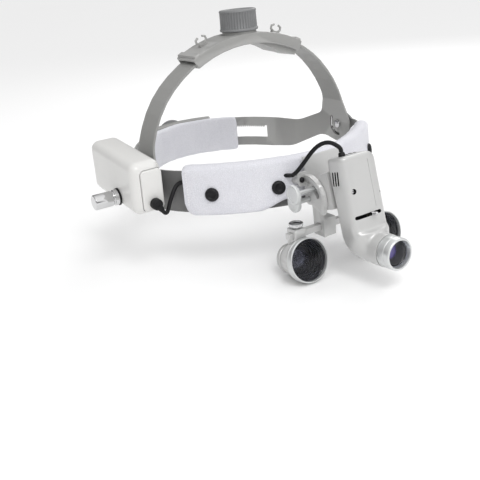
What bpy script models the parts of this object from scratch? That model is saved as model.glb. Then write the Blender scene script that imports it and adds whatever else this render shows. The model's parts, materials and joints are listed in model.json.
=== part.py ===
"""Headband dental loupes with a central headlight, as an assembly of separate parts.

The wearer looks along -Y, +X is the wearer's left and +Z is up. The origin is the middle of
the head opening, on the line between the temples and level with the middle of the band.
All sizes are in metres.
"""
import math

import bmesh
import bpy
import numpy as np
from mathutils import Matrix, Vector

# Driving dimensions
SHEET = 0.0016              # thickness of the band and of the yokes
GAP = 0.0003                # clearance between pieces that touch
TEMPLE_Y = 0.0207           # the temple pivots
TEMPLE_Z = 0.0080
BAND_X = 0.0977             # middle of the front band's sheet at the temples
YOKE_X = 0.0948             # middle of the yokes' sheet at the temples
FRONT_Y = -0.0655           # middle of the front band's sheet at the forehead
REAR_Y = 0.1500             # middle of the rear band at the back of the head
BAND_LOW = -0.0172
BAND_HIGH = 0.0140
FRONT_LEAN = math.radians(12)

CROWN_Z = 0.0950            # middle of the crown housing at its top
STRAP_WIDTH = 0.0240
STRAP_MID = 0.0030          # the crown straps' middle, behind the pivot
REAR_LOW = -0.0280          # the rear band's edges, measured from the pivot's height
REAR_HIGH = 0.0
RACK_PITCH = 0.0022
LAYER = 0.00095             # each strap's distance from the middle of its housing
HOUSING_HALF = 0.0043       # half the thickness of the crown and rear housings

PAD_HALF_LENGTH = 0.1000
PAD_LOW = -0.0180
PAD_HIGH = 0.0190
PAD_FRONT = 0.0066          # the pad's outer face, in front of the band's middle
PAD_BACK = -0.0075

CASE_LENGTH = 0.0778
CASE_HEIGHT = 0.0376
CASE_INNER_X = -0.1005
CASE_OUTER_X = -0.1250
CASE_FRONT_Y = -0.0140
CASE_TOP_Z = 0.0264

TILT_Y = -0.0790            # the pivot that the lamp and the loupes tilt on
TILT_Z = -0.0105
ARC_RADIUS = 0.0108
ARC_SCREW_ANGLE = math.radians(55)
CHEEK_X = -0.0176
PITCH = math.radians(14)    # how far the loupes and the lamp's body lean back at rest

LAMP_TOP = Vector((0.0, -0.1038, 0.0228))
LAMP_HALF_WIDTH = 0.0160
LAMP_HALF_DEPTH = 0.0095
LENS_CENTRE = Vector((0.0, -0.1485, -0.0380))
BEAM_PITCH = math.radians(3)
TUBE_RADIUS = 0.0116
LAMP_WALL = 0.0016

PUPILS = {"left": 0.0385, "right": -0.0340}     # each loupe's place along the bar
OBJECTIVE_Y = -0.0960
OBJECTIVE_Z = -0.0485
OBJECTIVE_RADIUS = 0.0163
BARREL_LENGTH = 0.0225
BAR_Y = -0.0820
BAR_Z = -0.0325
BAR_DEPTH = 0.0046
BAR_HEIGHT = 0.0045

PARTS = None


# Scene, materials and small helpers

def clear_scene():
    for thing in list(bpy.data.objects):
        bpy.data.objects.remove(thing, do_unlink=True)


MATERIALS = {
    "grey_plastic": ((0.33, 0.34, 0.34), 0.45, 0.0),
    "white_leather": ((0.72, 0.72, 0.76), 0.60, 0.0),
    "case_plastic": ((0.76, 0.75, 0.73), 0.35, 0.0),
    "silver_paint": ((0.60, 0.61, 0.62), 0.35, 0.6),
    "chrome": ((0.85, 0.85, 0.86), 0.12, 1.0),
    "black_plastic": ((0.02, 0.02, 0.022), 0.45, 0.0),
    "black_rubber": ((0.015, 0.015, 0.017), 0.65, 0.0),
    "steel": ((0.60, 0.60, 0.61), 0.25, 1.0),
    "glass": ((0.03, 0.03, 0.05), 0.05, 0.0),
    "yellow_glass": ((0.80, 0.50, 0.05), 0.10, 0.0),
    "cell_wrap": ((0.10, 0.25, 0.45), 0.40, 0.0),
    "circuit_board": ((0.03, 0.20, 0.08), 0.50, 0.0),
    "aluminium": ((0.70, 0.70, 0.72), 0.35, 1.0),
}


def material(name):
    found = bpy.data.materials.get(name)
    if found:
        return found
    colour, roughness, metallic = MATERIALS[name]
    made = bpy.data.materials.new(name)
    made.use_nodes = True
    shader = made.node_tree.nodes["Principled BSDF"]
    shader.inputs["Base Color"].default_value = (*colour, 1.0)
    shader.inputs["Roughness"].default_value = roughness
    shader.inputs["Metallic"].default_value = metallic
    return made


def add_object(name, mesh, finish):
    """Link a mesh as a named part with its own finish."""
    mesh.materials.clear()
    mesh.materials.append(material(finish))
    part = bpy.data.objects.new(name, mesh)
    PARTS.objects.link(part)
    return part


def from_bmesh(name, shape, finish):
    mesh = bpy.data.meshes.new(name)
    shape.to_mesh(mesh)
    shape.free()
    return add_object(name, mesh, finish)


def freeze(part):
    """Replace a part's mesh by the mesh that its modifiers make."""
    bpy.context.view_layer.update()
    seen = part.evaluated_get(bpy.context.evaluated_depsgraph_get())
    mesh = bpy.data.meshes.new_from_object(seen)
    part.modifiers.clear()
    part.data = mesh
    return part


def boolean(part, tool, operation):
    """Cut or join another part, which is used up."""
    step = part.modifiers.new("boolean", "BOOLEAN")
    step.operation = operation
    step.solver = "EXACT"
    step.object = tool
    freeze(part)
    bpy.data.objects.remove(tool, do_unlink=True)
    return tidy_mesh(part)


def cut(part, *tools):
    for tool in tools:
        boolean(part, tool, "DIFFERENCE")
    return part


def fuse(part, *tools):
    for tool in tools:
        boolean(part, tool, "UNION")
    return part


def place(part, matrix):
    """Move a part by moving its points, so that every part is modelled in the object's frame."""
    part.data.transform(matrix)
    return part


def outward(shape):
    """Turn every face of a closed shape to point out of it."""
    bmesh.ops.recalc_face_normals(shape, faces=shape.faces)
    if shape.calc_volume(signed=True) < 0:
        bmesh.ops.reverse_faces(shape, faces=shape.faces)


def tidy_mesh(part):
    """Merge what a cut leaves closer together than any real detail."""
    shape = bmesh.new()
    shape.from_mesh(part.data)
    bmesh.ops.remove_doubles(shape, verts=shape.verts, dist=0.000002)
    bmesh.ops.dissolve_degenerate(shape, edges=shape.edges, dist=0.000002)
    shape.to_mesh(part.data)
    shape.free()
    return part


def along(location, direction):
    """A frame at a location whose Z axis is the direction."""
    turn = Vector(direction).to_track_quat("Z", "Y").to_matrix().to_4x4()
    return Matrix.Translation(Vector(location)) @ turn


def bevel(part, width, segments=2, angle=40):
    step = part.modifiers.new("bevel", "BEVEL")
    step.width = width
    step.segments = segments
    step.limit_method = "ANGLE"
    step.angle_limit = math.radians(angle)
    return freeze(part)


def block(name, size, centre, finish, edge=0.0, segments=2, frame=None):
    """A box, with rounded edges where an edge radius is given."""
    shape = bmesh.new()
    bmesh.ops.create_cube(shape, size=1.0)
    bmesh.ops.scale(shape, vec=size, verts=shape.verts)
    bmesh.ops.translate(shape, vec=centre, verts=shape.verts)
    part = from_bmesh(name, shape, finish)
    if edge:
        bevel(part, edge, segments)
    if frame is not None:
        place(part, frame)
    return part


def rod(name, radius, length, frame, finish, sides=24, edge=0.0, tip=None):
    """A cylinder or a cone that starts at its frame and runs along the frame's Z axis."""
    shape = bmesh.new()
    bmesh.ops.create_cone(
        shape, cap_ends=True, segments=sides, radius1=radius,
        radius2=radius if tip is None else tip, depth=length)
    bmesh.ops.translate(shape, vec=(0, 0, length / 2), verts=shape.verts)
    part = from_bmesh(name, shape, finish)
    if edge:
        bevel(part, edge, 2)
    return place(part, frame)


def turned(name, profile, frame, finish, sides=40, closed=False):
    """Turn a profile of (radius, height) points, listed top to bottom down the outer side."""
    mesh = bpy.data.meshes.new(name)
    points = [(radius, 0.0, height) for radius, height in profile]
    edges = [(i, i + 1) for i in range(len(points) - 1)]
    if closed:
        edges.append((len(points) - 1, 0))
    mesh.from_pydata(points, edges, [])
    part = add_object(name, mesh, finish)
    step = part.modifiers.new("screw", "SCREW")
    step.axis = "Z"
    step.steps = sides
    step.render_steps = sides
    step.use_merge_vertices = True
    step.merge_threshold = 0.00001
    freeze(part)
    part.data.materials.clear()
    part.data.materials.append(material(finish))
    return place(part, frame)


def arc_points(centre, radius, start, end, count):
    """Points on an arc, with its angles in radians."""
    steps = [start + (end - start) * i / (count - 1) for i in range(count)]
    return [(centre[0] + radius * math.cos(a), centre[1] + radius * math.sin(a)) for a in steps]


def rounded(corners, count=5):
    """An outline through (x, y, radius) corners, each rounded by an arc of its radius."""
    outline = []
    total = len(corners)
    for i, (x, y, radius) in enumerate(corners):
        here = Vector((x, y))
        before = (Vector(corners[i - 1][:2]) - here).normalized()
        after = (Vector(corners[(i + 1) % total][:2]) - here).normalized()
        if radius <= 0:
            outline.append((x, y))
            continue
        half = before.angle(after) / 2
        reach = radius / math.tan(half)
        middle = here + (before + after).normalized() * (radius / math.sin(half))
        first = here + before * reach - middle
        last = here + after * reach - middle
        turn = first.angle_signed(last)
        start = math.atan2(first.y, first.x)
        for k in range(count):
            angle = start - turn * k / (count - 1)
            outline.append((middle.x + radius * math.cos(angle), middle.y + radius * math.sin(angle)))
    return outline


def arc_slot(centre, radius, half_width, start, end):
    """The outline of a slot along an arc, with round ends."""
    outer = arc_points(centre, radius + half_width, start, end, 13)
    inner = arc_points(centre, radius - half_width, end, start, 13)
    far = (centre[0] + radius * math.cos(end), centre[1] + radius * math.sin(end))
    near = (centre[0] + radius * math.cos(start), centre[1] + radius * math.sin(start))
    far_cap = arc_points(far, half_width, end, end + math.pi, 6)[1:-1]
    near_cap = arc_points(near, half_width, start + math.pi, start + 2 * math.pi, 6)[1:-1]
    return outer + far_cap + inner + near_cap


def circle(centre, radius, count=24):
    return arc_points(centre, radius, 0, 2 * math.pi * (1 - 1 / count), count)


def plate(name, outlines, thickness, finish, frame=None):
    """A flat plate from an outline and its holes, with its middle on its own XY plane."""
    curve = bpy.data.curves.new(name, "CURVE")
    curve.dimensions = "2D"
    curve.fill_mode = "BOTH"
    curve.extrude = thickness / 2
    for outline in outlines:
        spline = curve.splines.new("POLY")
        spline.points.add(len(outline) - 1)
        for point, (x, y) in zip(spline.points, outline):
            point.co = (x, y, 0.0, 1.0)
        spline.use_cyclic_u = True
    flat = bpy.data.objects.new(name + "_outline", curve)
    PARTS.objects.link(flat)
    bpy.context.view_layer.update()
    seen = flat.evaluated_get(bpy.context.evaluated_depsgraph_get())
    mesh = bpy.data.meshes.new_from_object(seen)
    bpy.data.objects.remove(flat, do_unlink=True)
    shape = bmesh.new()
    shape.from_mesh(mesh)
    bmesh.ops.remove_doubles(shape, verts=shape.verts, dist=0.000005)
    bmesh.ops.dissolve_degenerate(shape, edges=shape.edges, dist=0.000002)
    outward(shape)
    part = from_bmesh(name, shape, finish)
    part.data.name = name
    if frame is not None:
        place(part, frame)
    return part


def tube(name, points, radius, finish, resolution=2):
    """A round wire or cable through a list of points."""
    curve = bpy.data.curves.new(name, "CURVE")
    curve.dimensions = "3D"
    curve.bevel_depth = radius
    curve.bevel_resolution = resolution
    curve.use_fill_caps = True
    spline = curve.splines.new("POLY")
    spline.points.add(len(points) - 1)
    for point, place_at in zip(spline.points, points):
        point.co = (*place_at, 1.0)
    wire = bpy.data.objects.new(name + "_route", curve)
    PARTS.objects.link(wire)
    bpy.context.view_layer.update()
    seen = wire.evaluated_get(bpy.context.evaluated_depsgraph_get())
    mesh = bpy.data.meshes.new_from_object(seen)
    bpy.data.objects.remove(wire, do_unlink=True)
    shape = bmesh.new()
    shape.from_mesh(mesh)
    bmesh.ops.remove_doubles(shape, verts=shape.verts, dist=0.000005)
    outward(shape)
    return from_bmesh(name, shape, finish)


def loft(name, sections, finish):
    """A closed body through rings of points, with flat ends."""
    shape = bmesh.new()
    rings = [[shape.verts.new(point) for point in section] for section in sections]
    count = len(sections[0])
    for lower, upper in zip(rings, rings[1:]):
        for i in range(count):
            j = (i + 1) % count
            shape.faces.new((lower[i], lower[j], upper[j], upper[i]))
    shape.faces.new(list(reversed(rings[0])))
    shape.faces.new(rings[-1])
    outward(shape)
    return from_bmesh(name, shape, finish)


# Smooth routes, and bending flat blanks round them

def spline_points(controls, spacing=0.001):
    """Points close together on the natural cubic spline through the controls."""
    knots = np.array(controls, float)
    steps = np.linalg.norm(np.diff(knots, axis=0), axis=1)
    count = len(knots)
    system = np.eye(count)
    right = np.zeros((count, knots.shape[1]))
    for i in range(1, count - 1):
        system[i, i - 1] = steps[i - 1]
        system[i, i] = 2 * (steps[i - 1] + steps[i])
        system[i, i + 1] = steps[i]
        slope_after = (knots[i + 1] - knots[i]) / steps[i]
        slope_before = (knots[i] - knots[i - 1]) / steps[i - 1]
        right[i] = 6 * (slope_after - slope_before)
    bends = np.linalg.solve(system, right)
    rows = []
    for i, step in enumerate(steps):
        inside = max(2, int(round(step / spacing)))
        for k in range(inside):
            u = step * k / inside
            v = step - u
            rows.append((bends[i] * v ** 3 + bends[i + 1] * u ** 3) / (6 * step)
                        + (knots[i] / step - bends[i] * step / 6) * v
                        + (knots[i + 1] / step - bends[i + 1] * step / 6) * u)
    rows.append(knots[-1])
    return np.array(rows)


class Route:
    """A plane curve measured by its length, with its outward normal."""

    def __init__(self, controls, zero_at):
        self.points = spline_points(controls, 0.0005)
        gaps = np.linalg.norm(np.diff(self.points, axis=0), axis=1)
        self.length = np.concatenate(([0.0], np.cumsum(gaps)))
        nearest = np.argmin(np.linalg.norm(self.points - np.array(zero_at), axis=1))
        self.length -= self.length[nearest]
        slope = np.gradient(self.points, axis=0)
        slope /= np.linalg.norm(slope, axis=1)[:, None]
        self.slope = slope

    def at(self, s):
        x = np.interp(s, self.length, self.points[:, 0])
        y = np.interp(s, self.length, self.points[:, 1])
        tx = np.interp(s, self.length, self.slope[:, 0])
        ty = np.interp(s, self.length, self.slope[:, 1])
        size = math.hypot(tx, ty)
        return np.array((x, y)), np.array((ty, -tx)) / size

    def nearest(self, x, y):
        """The length at which the route passes closest to a point."""
        away = np.linalg.norm(self.points - np.array((x, y)), axis=1)
        return float(self.length[np.argmin(away)])


def mirrored(half):
    """Both halves of a route that is symmetric about x = 0 and starts on it."""
    return [(-x, y) for x, y in reversed(half[1:])] + half


FRONT_HALF = [(0.0, FRONT_Y), (0.0320, -0.0585), (0.0700, -0.0345), (0.0915, -0.0090),
              (0.0970, 0.0060), (BAND_X, TEMPLE_Y), (0.0980, 0.0400)]
REAR_HALF = [(YOKE_X, -0.0100), (YOKE_X + 0.0002, 0.0060), (YOKE_X, TEMPLE_Y), (0.0940, 0.0380),
             (0.0843, 0.0700), (0.0640, 0.1120), (0.0350, 0.1395), (0.0, REAR_Y)]

front_route = Route(mirrored(FRONT_HALF), (0.0, FRONT_Y))
rear_route = Route(REAR_HALF + [(-x, y) for x, y in reversed(REAR_HALF[:-1])], (YOKE_X, TEMPLE_Y))
REAR_MIDDLE = rear_route.nearest(0.0, REAR_Y)
TEMPLE_S = front_route.nearest(BAND_X, TEMPLE_Y)

ARCH_HEIGHT = CROWN_Z - TEMPLE_Z
arch_route = Route([(YOKE_X * math.cos(a), TEMPLE_Z + ARCH_HEIGHT * math.sin(a))
                    for a in np.linspace(0.0, math.pi, 25)], (YOKE_X, TEMPLE_Z))
ARCH_TOP = arch_route.nearest(0.0, CROWN_Z)


def smooth(value, low, high):
    share = min(1.0, max(0.0, (value - low) / (high - low)))
    return share * share * (3 - 2 * share)


def front_place(s, t, n):
    """A point of the front band: s along it, t up it and n out of it."""
    point, outward = front_route.at(s)
    lean = FRONT_LEAN * (1 - smooth(abs(s), 0.0300, TEMPLE_S - 0.0220))
    out = n * math.cos(lean) - t * math.sin(lean)
    up = t * math.cos(lean) + n * math.sin(lean)
    return Vector((point[0] + outward[0] * out, point[1] + outward[1] * out, up))


def yoke_place(s, t, n):
    """A point of the left yoke: s back from the pivot, t up from it and n out of it."""
    point, outward = rear_route.at(s)
    if t <= 0:
        return Vector((point[0] + outward[0] * n, point[1] + outward[1] * n, TEMPLE_Z + t))
    spot, normal = arch_route.at(t)
    blend = smooth(t, 0.012, 0.030)
    side = Vector((outward[0] * (1 - blend) + blend, outward[1] * (1 - blend), 0.0)).normalized()
    flat_x = point[0] * (1 - blend) + YOKE_X * blend
    inward = (spot[0] - YOKE_X) + n * normal[0]
    up = spot[1] + n * normal[1]
    return Vector((flat_x + side.x * inward, point[1] + side.y * inward, up))


def crown_place(s, t, n):
    """A point of the crown housing: s back from the pivots, t along the arch from its top."""
    spot, normal = arch_route.at(ARCH_TOP + t)
    return Vector((spot[0] + n * normal[0], TEMPLE_Y + s, spot[1] + n * normal[1]))


def rear_place(s, t, n):
    """A point of the rear housing: s along the rear band from its middle."""
    point, outward = rear_route.at(REAR_MIDDLE + s)
    return Vector((point[0] + outward[0] * n, point[1] + outward[1] * n, TEMPLE_Z + t))


def stations(low, high, step, anchor=0.0):
    """Cutting places between two ends, at whole steps from an anchor."""
    first = math.ceil((low - anchor) / step + 0.25)
    last = math.floor((high - anchor) / step - 0.25)
    return [anchor + step * k for k in range(first, last + 1)]


def flatten(shape):
    """Merge faces that lie in one plane, except across the seams."""
    bmesh.ops.dissolve_limit(shape, angle_limit=0.0005, use_dissolve_boundaries=False,
                             verts=shape.verts, edges=shape.edges, delimit={"SEAM"})


def bend(part, mapping, x_cuts=(), y_cuts=(), mirror=False):
    """Bend a flat blank: its X, Y and Z become s, t and n of the mapping."""
    shape = bmesh.new()
    shape.from_mesh(part.data)
    flatten(shape)
    for axis, cuts in ((Vector((1, 0, 0)), x_cuts), (Vector((0, 1, 0)), y_cuts)):
        for value in cuts:
            everything = shape.verts[:] + shape.edges[:] + shape.faces[:]
            cut_line = bmesh.ops.bisect_plane(shape, geom=everything, dist=0.000002,
                                              plane_co=axis * value, plane_no=axis)
            for item in cut_line["geom_cut"]:
                if isinstance(item, bmesh.types.BMEdge):
                    item.seam = True
    flatten(shape)
    bmesh.ops.triangulate(shape, faces=shape.faces, quad_method="BEAUTY", ngon_method="BEAUTY")
    for vert in shape.verts:
        spot = mapping(vert.co.x, vert.co.y, vert.co.z)
        vert.co = Vector((-spot.x, spot.y, spot.z)) if mirror else spot
    outward(shape)
    shape.to_mesh(part.data)
    shape.free()
    return part


def rack_window(start, end, low, high, side, wheel):
    """A long window with a rack of teeth on its high edge (side +1) or its low edge (-1).

    A gap between two teeth is level with the wheel.
    """
    depth = 0.0015
    root_half = 0.00075
    tip_half = 0.00035
    first = math.ceil((start - wheel) / RACK_PITCH + 0.5)
    last = math.floor((end - wheel) / RACK_PITCH - 0.5)
    teeth = [wheel + (k + 0.5) * RACK_PITCH for k in range(first, last)]
    base, tip, plain = (high, high - depth, low) if side > 0 else (low, low + depth, high)
    corner = base + math.copysign(0.00006, base - plain)
    edge = []
    for centre in teeth:
        edge += [(centre - root_half, base), (centre - tip_half, tip),
                 (centre + tip_half, tip), (centre + root_half, base)]
    return [(start, plain), (start, corner)] + edge + [(end, corner), (end, plain)]


# The head frame: yokes, crown and rear adjusters

DISC_RADIUS = 0.0150
REAR_OVERLAP = 0.0200
CROWN_OVERLAP = 0.0180
WINDOW_MIDDLE = (REAR_LOW + REAR_HIGH) / 2
WINDOW_HALF = 0.0058
SLOT_RADIUS = 0.0095
SLOT_START = math.radians(-92)
SLOT_END = math.radians(38)
PIN_ANGLE = math.radians(-27)
SCREW_RADIUS = 0.0020
SHAFT_RADIUS = 0.0029
KNOB_BORE = 0.6             # the share of a knob's height that its shaft reaches into


def make_yoke(name, side):
    """One moulding: crown strap, temple disc and half of the rear band."""
    strap_front = STRAP_MID - STRAP_WIDTH / 2
    strap_rear = STRAP_MID + STRAP_WIDTH / 2
    rear_end = REAR_MIDDLE + REAR_OVERLAP
    crown_end = ARCH_TOP + CROWN_OVERLAP
    disc_start = math.radians(152)
    disc = arc_points((0.0, 0.0), DISC_RADIUS, disc_start, math.radians(262), 12)
    outline = rounded([(strap_rear, crown_end, 0.004), (strap_front, crown_end, 0.004),
                       (strap_front, 0.0200, 0.030), (disc[0][0], disc[0][1], 0.0)])
    outline = outline[:-1] + disc
    outline += rounded([(disc[-1][0], disc[-1][1], 0.0), (0.0040, -0.0160, 0.006),
                        (0.0210, -0.0115, 0.020), (0.0560, REAR_LOW + 0.0015, 0.030),
                        (0.0800, REAR_LOW, 0.060), (rear_end, REAR_LOW, 0.004),
                        (rear_end, REAR_HIGH, 0.004), (0.0700, REAR_HIGH, 0.080),
                        (0.0480, -0.0010, 0.030), (strap_rear + 0.0060, 0.0085, 0.008),
                        (strap_rear, 0.0260, 0.030), (strap_rear, crown_end, 0.0)])[1:-1]
    holes = [circle((0.0, 0.0), SCREW_RADIUS + GAP, 16),
             arc_slot((0.0, 0.0), SLOT_RADIUS, 0.0014, SLOT_START, SLOT_END),
             rack_window(REAR_MIDDLE - 0.0905, rear_end - 0.0060,
                         WINDOW_MIDDLE - WINDOW_HALF, WINDOW_MIDDLE + WINDOW_HALF, side,
                         REAR_MIDDLE)]
    across = rack_window(ARCH_TOP - 0.0330, crown_end - 0.0040,
                         STRAP_MID - WINDOW_HALF, STRAP_MID + WINDOW_HALF, side, ARCH_TOP)
    holes.append([(y, x) for x, y in across])
    part = plate(name, [outline] + holes, SHEET, "grey_plastic")

    def mapping(s, t, n):
        shift = smooth(s, 0.060, 0.120) + smooth(t, 0.050, 0.090)
        return yoke_place(s, t, n + side * LAYER * min(1.0, shift))

    bend(part, mapping, stations(0.0180, rear_end, 5 * RACK_PITCH, REAR_MIDDLE),
         stations(0.0120, crown_end, 5 * RACK_PITCH, ARCH_TOP), mirror=side < 0)
    return part


BOSS_TOP = HOUSING_HALF + 0.0012
KNOB_SEAT = BOSS_TOP + GAP


def bent_channel(name, length, width, middle, cavity, mapping):
    """A curved housing with a channel through it for the two straps."""
    part = block(name, (length, width, 2 * HOUSING_HALF), (0, middle, 0), "grey_plastic", 0.0012)
    channel = block("channel", (length * 1.2, cavity, 0.0043), (0, middle, 0), "grey_plastic")
    cut(part, channel)
    return bend(part, mapping, stations(-length / 2, length / 2, 0.0100, 0.0050))


def add_boss(housing, frame, radius):
    """A flat round seat for the knob, with holes for the wheel's shaft and its stub."""
    boss = rod("boss", radius, BOSS_TOP - 0.0022, frame @ Matrix.Translation((0, 0, 0.0022)),
               "grey_plastic", 32)
    shaft = rod("shaft_hole", SHAFT_RADIUS + GAP, 0.0200, frame, "grey_plastic", 24)
    stub = rod("stub_hole", 0.0021, 0.0080, frame @ Matrix.Translation((0, 0, -0.0080)),
               "grey_plastic", 16)
    fuse(housing, boss)
    return cut(housing, shaft, stub)


def toothed_wheel(name, frame, knob_height):
    """A pinion of 14 teeth, with a shaft up into its knob and a short stub below."""
    shaft_top = KNOB_SEAT + KNOB_BORE * knob_height - 0.0006
    outline = []
    for k in range(14):
        middle = 2 * math.pi * k / 14 + math.pi / 2
        for radius, offset in ((0.0039, -7), (0.0054, -3.5), (0.0054, 3.5), (0.0039, 7)):
            angle = middle + math.radians(offset)
            outline.append((radius * math.cos(angle), radius * math.sin(angle)))
    part = plate(name, [outline], 0.0036, "black_plastic")
    shaft = rod("shaft", SHAFT_RADIUS, shaft_top - 0.0010, Matrix.Translation((0, 0, 0.0010)),
                "black_plastic", 20)
    stub = rod("stub", 0.0018, 0.0035, Matrix.Translation((0, 0, -0.0042)), "black_plastic", 12)
    fuse(part, shaft, stub)
    return place(part, frame)


def fluted(radius, depth, count):
    """The outline of a fluted knob."""
    outline = []
    for k in range(count):
        middle = 2 * math.pi * k / count
        step = 2 * math.pi / count
        for share, size in ((-0.5, radius - depth), (-0.25, radius), (0.25, radius)):
            angle = middle + share * step
            outline.append((size * math.cos(angle), size * math.sin(angle)))
    return outline


def adjuster_knob(name, radius, height, frame):
    """A fluted cap over the end of an adjuster's shaft."""
    part = plate(name, [fluted(radius, 0.0009, 12)], height, "grey_plastic",
                 Matrix.Translation((0, 0, height / 2)))
    base = rod("flange", radius + 0.0004, 0.0018, Matrix.Identity(4), "grey_plastic", 24)
    crown = rod("crown", radius - 0.0012, 0.0010, Matrix.Translation((0, 0, height - 0.0002)),
                "grey_plastic", 24, tip=radius - 0.0028)
    fuse(part, base, crown)
    bore = rod("bore", SHAFT_RADIUS + GAP, height * KNOB_BORE + 0.0010,
               Matrix.Translation((0, 0, -0.0010)), "grey_plastic", 20)
    cut(part, bore)
    return place(part, frame)


CROWN_KNOB_RADIUS = 0.0148
CROWN_KNOB_HEIGHT = 0.0150
REAR_KNOB_RADIUS = 0.0160
REAR_KNOB_HEIGHT = 0.0145
CROWN_LENGTH = 0.1020
CROWN_WIDTH = 0.0285
REAR_LENGTH = 0.0640
REAR_HEIGHT = 0.0340
CLIP_AT = 0.0330


def crown_blank(along_arch, across, out):
    """The crown housing's own blank: X runs along the arch and Y across it."""
    return crown_place(across, along_arch, out)


def make_crown():
    housing = bent_channel("crown_housing", CROWN_LENGTH, CROWN_WIDTH, STRAP_MID,
                           STRAP_WIDTH + 0.0008, crown_blank)
    belly = plate("belly", [[(-0.0500, -0.0035), (-0.0060, -0.0035), (-0.0330, -0.0092),
                             (-0.0500, -0.0078)]], CROWN_WIDTH - 0.0060, "grey_plastic",
                  Matrix(((1, 0, 0, 0), (0, 0, -1, STRAP_MID), (0, 1, 0, 0), (0, 0, 0, 1))))
    bend(belly, crown_blank, stations(-0.0500, -0.0060, 0.0110))
    fuse(housing, belly)
    for t in (-0.0470, 0.0470):
        lip = block("lip", (0.0050, CROWN_WIDTH - 0.0006, 0.0024), (t, STRAP_MID, HOUSING_HALF),
                    "grey_plastic", 0.0006, 1)
        fuse(housing, bend(lip, crown_blank))
    frame = Matrix.Translation((0.0, TEMPLE_Y + STRAP_MID, CROWN_Z))
    add_boss(housing, frame, 0.0135)
    for t in (CLIP_AT, -CLIP_AT):
        fuse(housing, *cable_clip(t))
    toothed_wheel("crown_pinion", frame, CROWN_KNOB_HEIGHT)
    adjuster_knob("crown_knob", CROWN_KNOB_RADIUS, CROWN_KNOB_HEIGHT,
                  frame @ Matrix.Translation((0, 0, KNOB_SEAT)))


def cable_clip(t):
    """A foot with a pair of small open hooks, moulded on the crown housing."""
    hooks = []
    for sign in (1, -1):
        route = [(0.0006, 0.0000), (0.0024, 0.0008), (0.0042, 0.0022), (0.0040, 0.0046),
                 (0.0018, 0.0058)]
        points = [crown_place(STRAP_MID, t + sign * a, HOUSING_HALF + 0.0012 + b)
                  for a, b in route]
        hooks.append(tube("hook", points, 0.0009, "grey_plastic", 1))
    foot = block("foot", (0.0060, 0.0040, 0.0030), (t, STRAP_MID, HOUSING_HALF + 0.0006),
                 "grey_plastic")
    return [bend(foot, crown_blank)] + hooks


def make_rear():
    middle = (REAR_LOW + REAR_HIGH) / 2
    housing = bent_channel("rear_housing", REAR_LENGTH, REAR_HEIGHT, middle, 0.0287, rear_place)
    frame = (Matrix.Translation((0.0, REAR_Y, TEMPLE_Z + WINDOW_MIDDLE))
             @ Matrix.Rotation(-math.pi / 2, 4, "X"))
    add_boss(housing, frame, 0.0145)
    toothed_wheel("rear_pinion", frame, REAR_KNOB_HEIGHT)
    adjuster_knob("rear_knob", REAR_KNOB_RADIUS, REAR_KNOB_HEIGHT,
                  frame @ Matrix.Translation((0, 0, KNOB_SEAT)))
    pad_half = 0.0620
    pad = block("rear_pad", (2 * pad_half, 0.0360, 0.0080), (0, middle, -0.0046 - GAP - 0.0040),
                "white_leather", 0.0030)
    bend(pad, rear_place, stations(-pad_half, pad_half, 0.0100, 0.0050))


# The front frame: band, pad, snaps and temple screws

SNAP_AT = [-0.0790, -0.0330, 0.0330, 0.0790]
SNAP_T = -0.0025
SNAP_STEM = 0.0016
WINDOWS = [(-0.0256, 0.0125, -0.0034, 0.0088), (-0.0372, -0.0250, 0.0030, 0.0100)]
CABLE_LEAVES = -0.0350
LEAVING = [(-0.0300, 0.0056, 0.0036), (-0.0264, 0.0052, 0.0068)]   # along, up and out
BOLTS = [(-0.0218, 0.0015), (0.0080, 0.0040)]   # the bracket's two screws, along and up
BOLT_RADIUS = 0.0010
BOLT_BOSS = 0.0031


def oriented(place_at, mapping=front_place):
    """A frame on the front band whose Z axis points out of it."""
    s, t, n = place_at
    spot = mapping(s, t, n)
    out = (mapping(s, t, n + 0.001) - spot).normalized()
    return along(spot, out)


def make_band():
    right_disc = arc_points((TEMPLE_S, TEMPLE_Z), 0.0125, math.radians(-110),
                            math.radians(110), 14)
    left_disc = [(-x, y) for x, y in reversed(right_disc)]
    outline = [(-TEMPLE_S + 0.0200, BAND_LOW), (TEMPLE_S - 0.0200, BAND_LOW)]
    outline += right_disc
    outline += [(TEMPLE_S - 0.0160, BAND_HIGH), (-TEMPLE_S + 0.0160, BAND_HIGH)]
    outline += left_disc
    holes = [circle((side * TEMPLE_S, TEMPLE_Z), SCREW_RADIUS + GAP, 16) for side in (1, -1)]
    holes += [circle((s, t), BOLT_RADIUS + 0.0012, 10) for s, t in BOLTS]
    band = plate("front_band", [outline] + holes, SHEET, "grey_plastic")
    bend(band, front_place, stations(-TEMPLE_S, TEMPLE_S, 0.0070, 0.0035))
    inner = BAND_X - SHEET / 2
    sheet_outer = YOKE_X + SHEET / 2
    for side in (1, -1):
        out = (side, 0, 0)
        ring = [(0.0056, inner - sheet_outer - GAP + 0.0004), (0.0056, 0.0),
                (SCREW_RADIUS + GAP, 0.0),
                (SCREW_RADIUS + GAP, inner - sheet_outer - GAP + 0.0004)]
        boss_at = (side * (sheet_outer + GAP), TEMPLE_Y, TEMPLE_Z)
        boss = turned("boss", ring, along(boss_at, out), "grey_plastic", 20, closed=True)
        start = YOKE_X - SHEET / 2 - 0.0008
        peg_at = (side * start, TEMPLE_Y + SLOT_RADIUS * math.cos(PIN_ANGLE),
                  TEMPLE_Z + SLOT_RADIUS * math.sin(PIN_ANGLE))
        peg = rod("peg", 0.0011, inner - start + 0.0004, along(peg_at, out), "grey_plastic", 10)
        fuse(band, boss, peg)


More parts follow.
